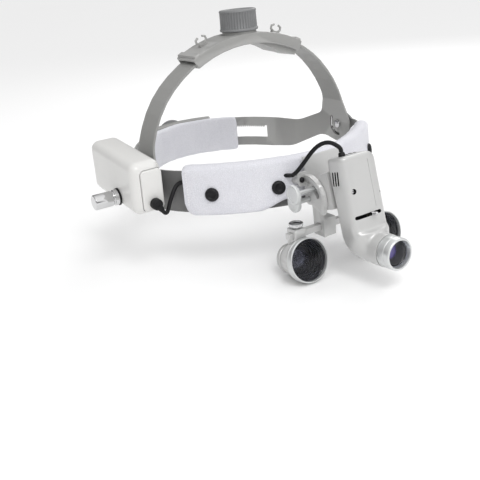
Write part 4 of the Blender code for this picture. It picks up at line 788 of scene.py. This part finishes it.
def make_clamp_screws():
    """The two clamping thumbscrews beside the lamp: a coined disc, a collar and a shaft."""
    for node, edge in (("arc_thumbscrew", 0.0070), ("pivot_thumbscrew", 0.0066)):
        low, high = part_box(node)
        place = along((low.x, (low.y + high.y) / 2, (low.z + high.z) / 2), (1, 0, 0))
        length = high.x - low.x
        shaft = 0.0016 if node == "arc_thumbscrew" else 0.0018
        profile = [(0.0, length), (shaft - 0.0003, length), (shaft, length - 0.0004),
                   (shaft, 0.0062), (0.0026, 0.0058), (0.0034, 0.0054), (0.0034, 0.0036),
                   (edge - 0.0008, 0.0034), (edge - 0.0002, 0.0031), (edge, 0.0027),
                   (edge, 0.0017), (edge, 0.0007), (edge - 0.0003, 0.0002),
                   (edge - 0.0010, 0.0), (edge - 0.0018, 0.0), (edge - 0.0021, 0.0004),
                   (0.0028, 0.0004), (0.0026, 0.0006), (0.0, 0.0006)]
        piece = turned(node + "_disc", profile, place, 240)
        knurled(piece, place, edge, 0.0005, 0.0029, 40, 0.0003)
        dress(piece, "satin_metal", node, [node], 30)


def lamp_axis():
    """Middle points of the lamp's body with their directions and how round they are."""
    steps = 22
    corner = LAMP_TOP + DOWN_THE_LAMP * 0.0643
    turn = DOWN_THE_LAMP.angle(BEAM)
    bend = 0.0160
    tangent = bend * math.tan(turn / 2)
    start = corner - DOWN_THE_LAMP * tangent
    side = (BEAM - DOWN_THE_LAMP * BEAM.dot(DOWN_THE_LAMP)).normalized()
    centre = start + side * bend
    straight = (start - LAMP_TOP).length
    rows = [(LAMP_TOP + DOWN_THE_LAMP * straight * k / steps, DOWN_THE_LAMP, k * 5.5 / steps)
            for k in range(steps + 1)]
    for k in range(1, steps + 1):
        angle = turn * k / steps
        direction = DOWN_THE_LAMP * math.cos(angle) + side * math.sin(angle)
        spot = centre - side * bend * math.cos(angle) + DOWN_THE_LAMP * bend * math.sin(angle)
        rows.append((spot, direction, 5.5 + 4.8 * k / steps))
    end = LENS_CENTRE - BEAM * 0.0100
    last = rows[-1][0]
    for k in range(1, 5):
        rows.append((last + (end - last) * k / 4, BEAM, 10.5 + 0.5 * k / 4))
    return rows


def inset_at(depth, radius):
    """How far a rounded top edge still stands in at a depth below the top."""
    gone = max(0.0, radius - depth)
    return radius - math.sqrt(radius ** 2 - gone ** 2)


def lamp_ring(middle, direction, share, depth):
    """One section of the lamp's body, its top corners rounder on the wearer's left."""
    half_width = LAMP_HALF_WIDTH * (1 - share) + TUBE_RADIUS * share
    half_depth = LAMP_HALF_DEPTH * (1 - share) + TUBE_RADIUS * share
    bulge = math.sin(math.pi * share) * 0.0012
    power = 5.0 * (1 - share) + 2.0 * share
    through = direction.cross(Vector((1, 0, 0))).normalized()
    left_reach = half_width + bulge - inset_at(depth, 0.0065) - 0.0020 * (1 - share)
    right_reach = half_width + bulge - inset_at(depth, 0.0026)
    thick = half_depth + bulge - inset_at(depth, 0.0020)
    ring = []
    for k in range(LAMP_POINTS):
        angle = 2 * math.pi * (k + 0.5) / LAMP_POINTS
        c, s = math.cos(angle), math.sin(angle)
        reach = left_reach if c > 0 else right_reach
        x = reach * math.copysign(abs(c) ** (2 / power), c)
        y = thick * math.copysign(abs(s) ** (2 / power), s)
        ring.append(middle + Vector((x, 0, 0)) + through * y)
    return ring


def make_lamp_body():
    """The lamp's shell in one smooth sweep, with its vents, screw hole and lever slot."""
    round_down = 0.0065
    rings = []
    for k in range(17):
        depth = round_down * (1 - math.cos(math.pi / 2 * k / 16))
        rings.append(lamp_ring(LAMP_TOP + DOWN_THE_LAMP * depth, DOWN_THE_LAMP, 0.0, depth))
    for middle, direction, place_of in lamp_axis():
        if (middle - LAMP_TOP).length > round_down + 0.0005:
            share = smooth(place_of, 5.0, 10.0)
            rings.append(lamp_ring(middle, direction, share, round_down))
    piece = loft("lamp_shell", rings)
    piece.data.materials.append(material("silver_paint"))
    # the walls of the vents, the slot and the holes are near-black as painted shade
    slant = Matrix.Rotation(math.radians(9), 4, "X")
    for k in range(3):
        at = LAMP_BODY @ Matrix.Translation((-LAMP_HALF_WIDTH, 0.0026 * (k - 1) + 0.0012, -0.0140))
        cut(piece, rounded_block("vent", (0.0060, 0.0014, 0.0098), 0.0005, 3, at @ slant),
            "black_inside_and_painted_shade")
    slant = Matrix.Rotation(math.radians(-16), 4, "Z")
    for k in range(5):
        at = LAMP_BODY @ Matrix.Translation((0.0038 * k - 0.0048, 0.0052, 0.0))
        cut(piece, rounded_block("vent", (0.0018, 0.0096, 0.0060), 0.0006, 3, at @ slant),
            "black_inside_and_painted_shade")
    at = LAMP_BODY @ Matrix.Translation((-0.0025, -LAMP_HALF_DEPTH, LEVER_Z))
    cut(piece, rounded_block("slot", (0.0226, 0.0080, 0.0025), 0.0012, 6, at), "black_inside_and_painted_shade")
    for (x, z), radius in ((LAMP_SCREW, 0.0019), ((0.0118, -0.0292), 0.0006)):
        hole_at = LAMP_BODY @ along((x, -LAMP_HALF_DEPTH + 0.0030, z), (0, -1, 0))
        cut(piece, turned("hole", [(0.0, 0.0060), (radius, 0.0060), (radius, 0.0), (0.0, 0.0)],
                          hole_at, 32), "black_inside_and_painted_shade")
    at = LAMP_BODY @ Matrix.Translation((0.0052, -LAMP_HALF_DEPTH - 0.00006, -0.0215))
    cut(piece, rounded_block("crease", (0.0007, 0.0009, 0.0330), 0.0002, 1, at), "silver_paint")
    dress(piece, "silver_paint", "lamp", ["lamp_housing"], 32)
    across, down = LAMP_SCREW
    screw_at = LAMP_BODY @ along((across, -LAMP_HALF_DEPTH + 0.0032, down), (0, -1, 0))
    head = [(0.0, 0.0010), (0.0005, 0.0010), (0.0006, 0.0016), (0.0012, 0.0016),
            (0.0016, 0.0012), (0.0016, 0.0), (0.0, 0.0)]
    dress(turned("lamp_screw", head, screw_at, 32), "steel", "lamp")
    sleeve = [(0.0, 0.0027), (0.0017, 0.0027), (0.0022, 0.0021), (0.0024, 0.0004),
              (0.0024, -0.0010), (0.0, -0.0010)]
    collar = turned("wire_collar", sleeve, LAMP_BODY @ Matrix.Translation((*WIRE_HOLE, 0.0)), 48)
    dress(collar, "black_rubber", "lamp", ["cable_grommet"])


def make_filter():
    """The filter behind the slot, near-black as painted shade, with the bright pin that moves it.
    """
    glass = rounded_block("filter_plate", (0.0100, 0.0012, 0.0120), 0.0004, 2,
                          LAMP_BODY @ Matrix.Translation((0.0030, -0.0060, -0.0440)))
    dress(glass, "filter_painted_shade", "filter_slide", ["filter_slide"])
    profile = [(0.0, 0.0080), (0.0007, 0.0080), (0.0011, 0.0077), (0.0013, 0.0072),
               (0.0013, 0.0050), (0.0011, 0.0048), (0.0011, 0.0045), (0.0013, 0.0043),
               (0.0013, 0.0018), (0.0009, 0.0012), (0.0009, -0.0010), (0.0, -0.0010)]
    pin_at = LAMP_BODY @ along((0.0005, -0.0070, LEVER_Z), (0, -1, 0))
    pin = turned("filter_pin", profile, pin_at, 40)
    dress(pin, "steel", "filter_slide")


def make_lamp_ring():
    """The stepped ring round the lamp's front lens, and the optics behind the glass, the inner
    lens purple as a painted reflection.
    """
    place = along(LENS_CENTRE, BEAM)
    ring = [(0.0098, 0.0012), (0.0106, 0.0012), (0.0109, 0.0010), (0.0112, 0.0004),
            (0.0113, -0.0030), (0.0109, -0.0033), (0.0109, -0.0038), (0.0113, -0.0041),
            (0.0113, -0.0086), (0.0110, -0.0097), (0.0088, -0.0097), (0.0088, -0.0030),
            (0.0094, -0.0030), (0.0095, 0.0006)]
    piece = turned("lamp_ring_fine", ring, place, 128, closed=True)
    dress(piece, "satin_metal", "lamp", ["lamp_lens_ring"], 30)
    seat = [(0.0087, -0.0030), (0.0087, -0.0050), (0.0078, -0.0052), (0.0066, -0.0095),
            (0.0, -0.0097)]
    piece = turned("lamp_seat", seat, place, 64)
    dress(piece, "black_inside_and_painted_shade", "lamp")
    # the inner lens is coloured purple as a painted reflection
    lens_profile = [(0.0062, -0.0092), (0.0058, -0.0080), (0.0044, -0.0064), (0.0024, -0.0056),
            (0.0, -0.0053)]
    piece = turned("lamp_inner_lens", lens_profile, place, 64)
    dress(piece, "lens_painted_reflection", "lamp")
    lens_dome("lamp_glass", place, 0.0090, -0.0014, "lamp", ["lamp_front_lens"])


def rounded_panel(name, width, height, corner, layers, place):
    """A panel with rounded corners; each layer is (depth, inset), front first."""
    rings = []
    for depth, inset in layers:
        ring = []
        for quarter in range(4):
            middle = math.pi / 2 * (quarter + 0.5)
            x = math.copysign(width / 2 - corner, math.cos(middle))
            z = math.copysign(height / 2 - corner, math.sin(middle))
            for k in range(9):
                angle = math.pi / 2 * (quarter + k / 8)
                ring.append((x + (corner - inset) * math.cos(angle), depth,
                             z + (corner - inset) * math.sin(angle)))
        rings.append(ring)
    return loft(name, rings, place)


def make_case():
    """The battery case's shell with a separate end cover set into it behind a fine groove."""
    sag = 0.0010
    size = (CASE_INNER_X - CASE_OUTER_X, CASE_LENGTH, CASE_HEIGHT + 2 * sag)
    middle = Vector(((CASE_INNER_X + CASE_OUTER_X) / 2, CASE_FRONT_Y + CASE_LENGTH / 2,
                     CASE_TOP_Z - CASE_HEIGHT / 2 - sag))
    shell = rounded_block("battery_shell", size, 0.0068, 12,
                          CASE_TURN @ Matrix.Translation(middle))
    shell.data.materials.append(material("case_plastic"))
    front = CASE_TURN @ Matrix.Translation((middle.x + 0.0026, CASE_FRONT_Y, middle.z - 0.0012))
    # the mouth's walls are near-black, painted shade in the groove round the end cover
    cut(shell, rounded_panel("mouth", 0.0172, 0.0316, 0.0036, [(-0.0020, 0.0), (0.0060, 0.0)],
                             front), "black_inside_and_painted_shade")
    nick = rounded_block("nick", (0.0016, 0.0040, 0.0034), 0.0003, 2,
                         front @ Matrix.Translation((0.0062, 0.0008, 0.0175)))
    cut(shell, nick, "case_plastic")
    dress(shell, "case_plastic", "front_frame", ["battery_case"], 30)
    cover = rounded_panel("end_cover", 0.0164, 0.0308, 0.0032,
                          [(-0.0015, 0.0010), (-0.0014, 0.0006), (-0.0011, 0.0002),
                           (-0.0006, 0.0), (0.0024, 0.0)], front)
    cover.data.materials.append(material("case_plastic"))
    dress(cover, "case_plastic", "front_frame", ["battery_end_cover"], 30)


# Soft pads

def swollen(piece, cap):
    """Let a closed bag fill out as stuffed leather does, no point moving past the cap."""
    step = piece.modifiers.new("remesh", "REMESH")
    step.mode = "VOXEL"
    step.voxel_size = 0.0026
    freeze(piece)
    before = [vert.co.copy() for vert in piece.data.vertices]
    cloth = piece.modifiers.new("cloth", "CLOTH")
    cloth.settings.quality = 4
    cloth.settings.mass = 0.2
    cloth.settings.use_pressure = True
    cloth.settings.uniform_pressure_force = 4.0
    cloth.settings.effector_weights.gravity = 0.0
    cloth.settings.tension_stiffness = 25.0
    cloth.settings.bending_stiffness = 2.0
    cloth.point_cache.frame_end = CLOTH_FRAMES
    scene = bpy.context.scene
    for frame_number in range(1, CLOTH_FRAMES + 1):
        scene.frame_set(frame_number)
    freeze(piece)
    scene.frame_set(1)
    for vert, start in zip(piece.data.vertices, before):
        moved = vert.co - start
        if moved.length > cap:
            vert.co = start + moved * (cap / moved.length)
    relax = piece.modifiers.new("relax", "SMOOTH")
    relax.factor = 0.5
    relax.iterations = 4
    smoother = piece.modifiers.new("smoother", "SUBSURF")
    smoother.levels = 1
    smoother.render_levels = 1
    freeze(piece)


def drawn_in(s, half_length, corner):
    """How far a rounded end has drawn in at a distance s along a strip."""
    room = max(0.0, abs(s) - (half_length - corner)) / corner
    return (1 - math.sqrt(max(0.0, 1 - room ** 2))) * corner


def bent_slab(name, place, half_length, low, high, back, front, corner):
    """A closed slab with rounded ends, bent onto a band."""
    rows, columns = 9, 60
    shape = bmesh.new()
    grid = {}
    for side, n in enumerate((back, front)):
        for i in range(columns + 1):
            for j in range(rows + 1):
                u = 2 * i / columns - 1
                v = 2 * j / rows - 1
                s = half_length * u
                squeeze = 1 - drawn_in(s, half_length, corner) * 2 / (high - low)
                t = (low + high) / 2 + (high - low) / 2 * v * squeeze
                grid[side, i, j] = shape.verts.new(place(s, t, n))
    for i in range(columns):
        for j in range(rows):
            for side in (0, 1):
                shape.faces.new([grid[side, i, j], grid[side, i + 1, j],
                                 grid[side, i + 1, j + 1], grid[side, i, j + 1]])
    for i in range(columns):
        for j in (0, rows):
            shape.faces.new([grid[0, i, j], grid[0, i + 1, j], grid[1, i + 1, j], grid[1, i, j]])
    for j in range(rows):
        for i in (0, columns):
            shape.faces.new([grid[0, i, j], grid[0, i, j + 1], grid[1, i, j + 1], grid[1, i, j]])
    bmesh.ops.recalc_face_normals(shape, faces=shape.faces)
    return link_mesh(name, shape)


def creases(piece, strength, seed, density=60):
    """Shallow pulls in the leather, across the pad."""
    for vert in piece.data.vertices:
        spot = vert.co * density + Vector((seed, 0, 0))
        spot.z *= 0.35
        push = noise.noise(spot) + 0.5 * noise.noise(spot * 2.3)
        vert.co += vert.normal * push * strength


def stitches(name, spots, outs):
    """A row of short threads, each lying from one hole to the next."""
    shape = bmesh.new()
    for start, end, out in zip(spots, spots[1:], outs):
        run = end - start
        middle = (start + end) / 2 + out * 0.0001
        across = run.normalized().cross(out).normalized()
        made = bmesh.ops.create_uvsphere(shape, u_segments=8, v_segments=6, radius=1.0)
        turn = Matrix((across, out, run.normalized())).transposed().to_4x4()
        size = Matrix.Diagonal((0.00028, 0.00022, run.length * 0.36, 1.0))
        bmesh.ops.transform(shape, matrix=Matrix.Translation(middle) @ turn @ size,
                            verts=made["verts"])
    dress(link_mesh(name, shape), "thread", "front_frame")


def make_rear_pad():
    piece = bent_slab("rear_cushion", rear_place, 0.0612, -0.0312, 0.0032, -0.0122, -0.0056,
                      0.0030)
    swollen(piece, 0.0016)
    creases(piece, 0.00035, 3.0)
    dress(piece, "leather", "crown_frame", ["rear_pad"], 60)


def flap_low(s):
    """The lower edge of the leather's outer face, drawn up where the bracket hangs below it."""
    return -0.0180 + 0.0065 * (1 - smooth(abs(s), 0.0260, 0.0480))


def flap_section(low, top):
    """Heights and depths round the folded leather: up its front, over the top and back."""
    section = [(low + 0.0012 + (top - 0.0050 - low) * k / 14, 0.0066) for k in range(15)]
    for k in range(1, 12):
        angle = math.pi * k / 12
        section.append((top - 0.0045 + 0.0045 * math.sin(angle),
                        0.0009 + 0.0057 * math.cos(angle)))
    section += [(top - 0.0045 - 0.0030 * k, -0.0048 - 0.0004 * k) for k in range(8)]
    section += [(top - 0.0245 + 0.0030 * k, -0.0019) for k in range(8)]
    for k in range(1, 8):
        angle = math.pi * (1 - k / 8)
        section.append((top - 0.0045 + 0.0024 * math.sin(angle),
                        0.0012 + 0.0032 * math.cos(angle)))
    section += [(top - 0.0062 - (top - 0.0062 - low) * k / 14, 0.0046) for k in range(15)]
    return section + [(low + 0.0001, 0.0050), (low + 0.0001, 0.0060)]


def make_forehead_pad():
    """A stuffed cushion behind the band."""
    piece = bent_slab("forehead_cushion", front_place, 0.0985, -0.0165, 0.0178, -0.0070, -0.0024,
                      0.0060)
    swollen(piece, 0.0014)
    creases(piece, 0.00030, 7.0)
    dress(piece, "leather", "front_frame", ["forehead_pad"], 60)


def make_flap():
    """The leather folded over the band's front, stitched at both ends."""
    half_length = 0.0990
    columns = 180
    rings = []
    for i in range(columns + 1):
        s = -half_length + 2 * half_length * i / columns
        draw = drawn_in(s, half_length, 0.0080)
        section = flap_section(flap_low(s) + draw, 0.0190 - draw * 0.15)
        rings.append([front_place(s, t, n) for t, n in section])
    flap = loft("forehead_flap", rings)
    creases(flap, 0.00018, 11.0)
    creases(flap, 0.00012, 23.0, 210)
    dress(flap, "leather", "front_frame", (), 70)
    rows = np.linspace(0.0160, -0.0105, 15)
    for side_name, side in (("left", 1), ("right", -1)):
        s = side * (half_length - 0.0028)
        spots = [front_place(s, t, 0.0067) for t in rows]
        outs = [(front_place(s, t, 0.0077) - spot).normalized() for t, spot in zip(rows, spots)]
        stitches(f"flap_stitches_{side_name}", spots, outs)


# Cables

CABLE_ENTERS = -0.1025      # along the band, where the cable slips behind the leather
CABLE_LEAVES = -0.0350
UNDER_FLAP = (0.0060, 0.0027)   # up and out, between the band and the leather
LEAVING = [(-0.0300, 0.0056, 0.0036), (-0.0264, 0.0052, 0.0068)]   # along, up and out
LOWER_ROUTE = [(-0.1062, -0.0192, -0.0106), (-0.1053, -0.0194, -0.0121),
               (-0.1039, -0.0195, -0.0129), (-0.1024, -0.0194, -0.0118),
               (-0.1011, -0.0193, -0.0090), (-0.0990, -0.0191, -0.0046),
               (-0.0968, -0.0188, -0.0010), (-0.0941, -0.0182, 0.0026),
               (-0.0913, -0.0173, 0.0047)]
LOOP_ROUTE = [(-0.0268, -0.0724, 0.0078), (-0.0261, -0.0746, 0.0096), (-0.0244, -0.0774, 0.0130),
              (-0.0216, -0.0808, 0.0185), (-0.0182, -0.0852, 0.0255), (-0.0148, -0.0907, 0.0306),
              (-0.0112, -0.0962, 0.0318), (-0.0086, -0.1006, 0.0296)]


def make_plug():
    """The plug in the end cover and its tapered, ribbed strain relief."""
    place = CASE_TURN @ along((PLUG_X, CASE_FRONT_Y - 0.0019, PLUG_Z), (0, -1, 0))
    profile = [(0.0, 0.0056), (0.0030, 0.0056), (0.0036, 0.0053), (0.0041, 0.0047),
               (0.0042, 0.0040), (0.0042, 0.0012), (0.0040, 0.0010), (0.0040, 0.0008),
               (0.0042, 0.0006), (0.0042, 0.0003), (0.0028, 0.0003), (0.0028, -0.0020),
               (0.0, -0.0020)]
    plug = turned("plug_body", profile, place, 64)
    dress(plug, "black_rubber", "front_frame", ["cable_plug"])
    exit_at = CASE_TURN @ Vector((PLUG_X + 0.0006, CASE_FRONT_Y - 0.0048, PLUG_Z - 0.0010))
    run = Vector(LOWER_ROUTE[0]) - exit_at
    ribs = [(0.0, run.length + 0.0004)]
    for k in range(12, -1, -1):
        height = run.length * k / 12
        ribs.append((0.0018 + 0.0013 * (1 - k / 12) - 0.0002 * (k % 2), height))
    ribs.append((0.0, 0.0))
    relief = turned("plug_relief", ribs, along(exit_at, run), 48)
    dress(relief, "black_rubber", "front_frame", (), 60)


def make_cables():
    """The supply cable under the leather, and the free wire from the bracket to the lamp."""
    start = Vector(LOOP_ROUTE[0])
    onward = (Vector(LOOP_ROUTE[1]) - start).normalized()
    hidden = [tuple(front_place(s, *UNDER_FLAP))
              for s in np.linspace(CABLE_ENTERS, CABLE_LEAVES, 12)]
    leaving = [tuple(front_place(*spot)) for spot in LEAVING]
    lower = spline_points(LOWER_ROUTE + hidden + leaving + [tuple(start - onward * 0.0003)],
                          0.0020)
    under = smooth_tube("pad_cable", lower)
    dress(under, "black_rubber", "front_frame", ["power_cable"])
    ends = [tuple(LAMP_BODY @ Vector((*WIRE_HOLE, height))) for height in (0.0052, 0.0029)]
    loop = [tuple(p) for p in spline_points(LOOP_ROUTE + ends, 0.0015)]
    wire = meshed(smooth_tube("lamp_wire", loop))
    wire.data.materials.append(material("black_rubber"))
    wire.data.shade_smooth()
    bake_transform(wire)
    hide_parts("lamp_cable")


def main():
    make_camera()
    make_plug()
    make_cables()
    make_floor()
    make_light()
    make_skins()
    make_knobs()
    make_snaps()
    make_loupes()
    make_clamp_screws()
    make_lamp_body()
    make_filter()
    make_lamp_ring()
    make_case()
    make_rear_pad()
    make_forehead_pad()
    make_flap()


main()
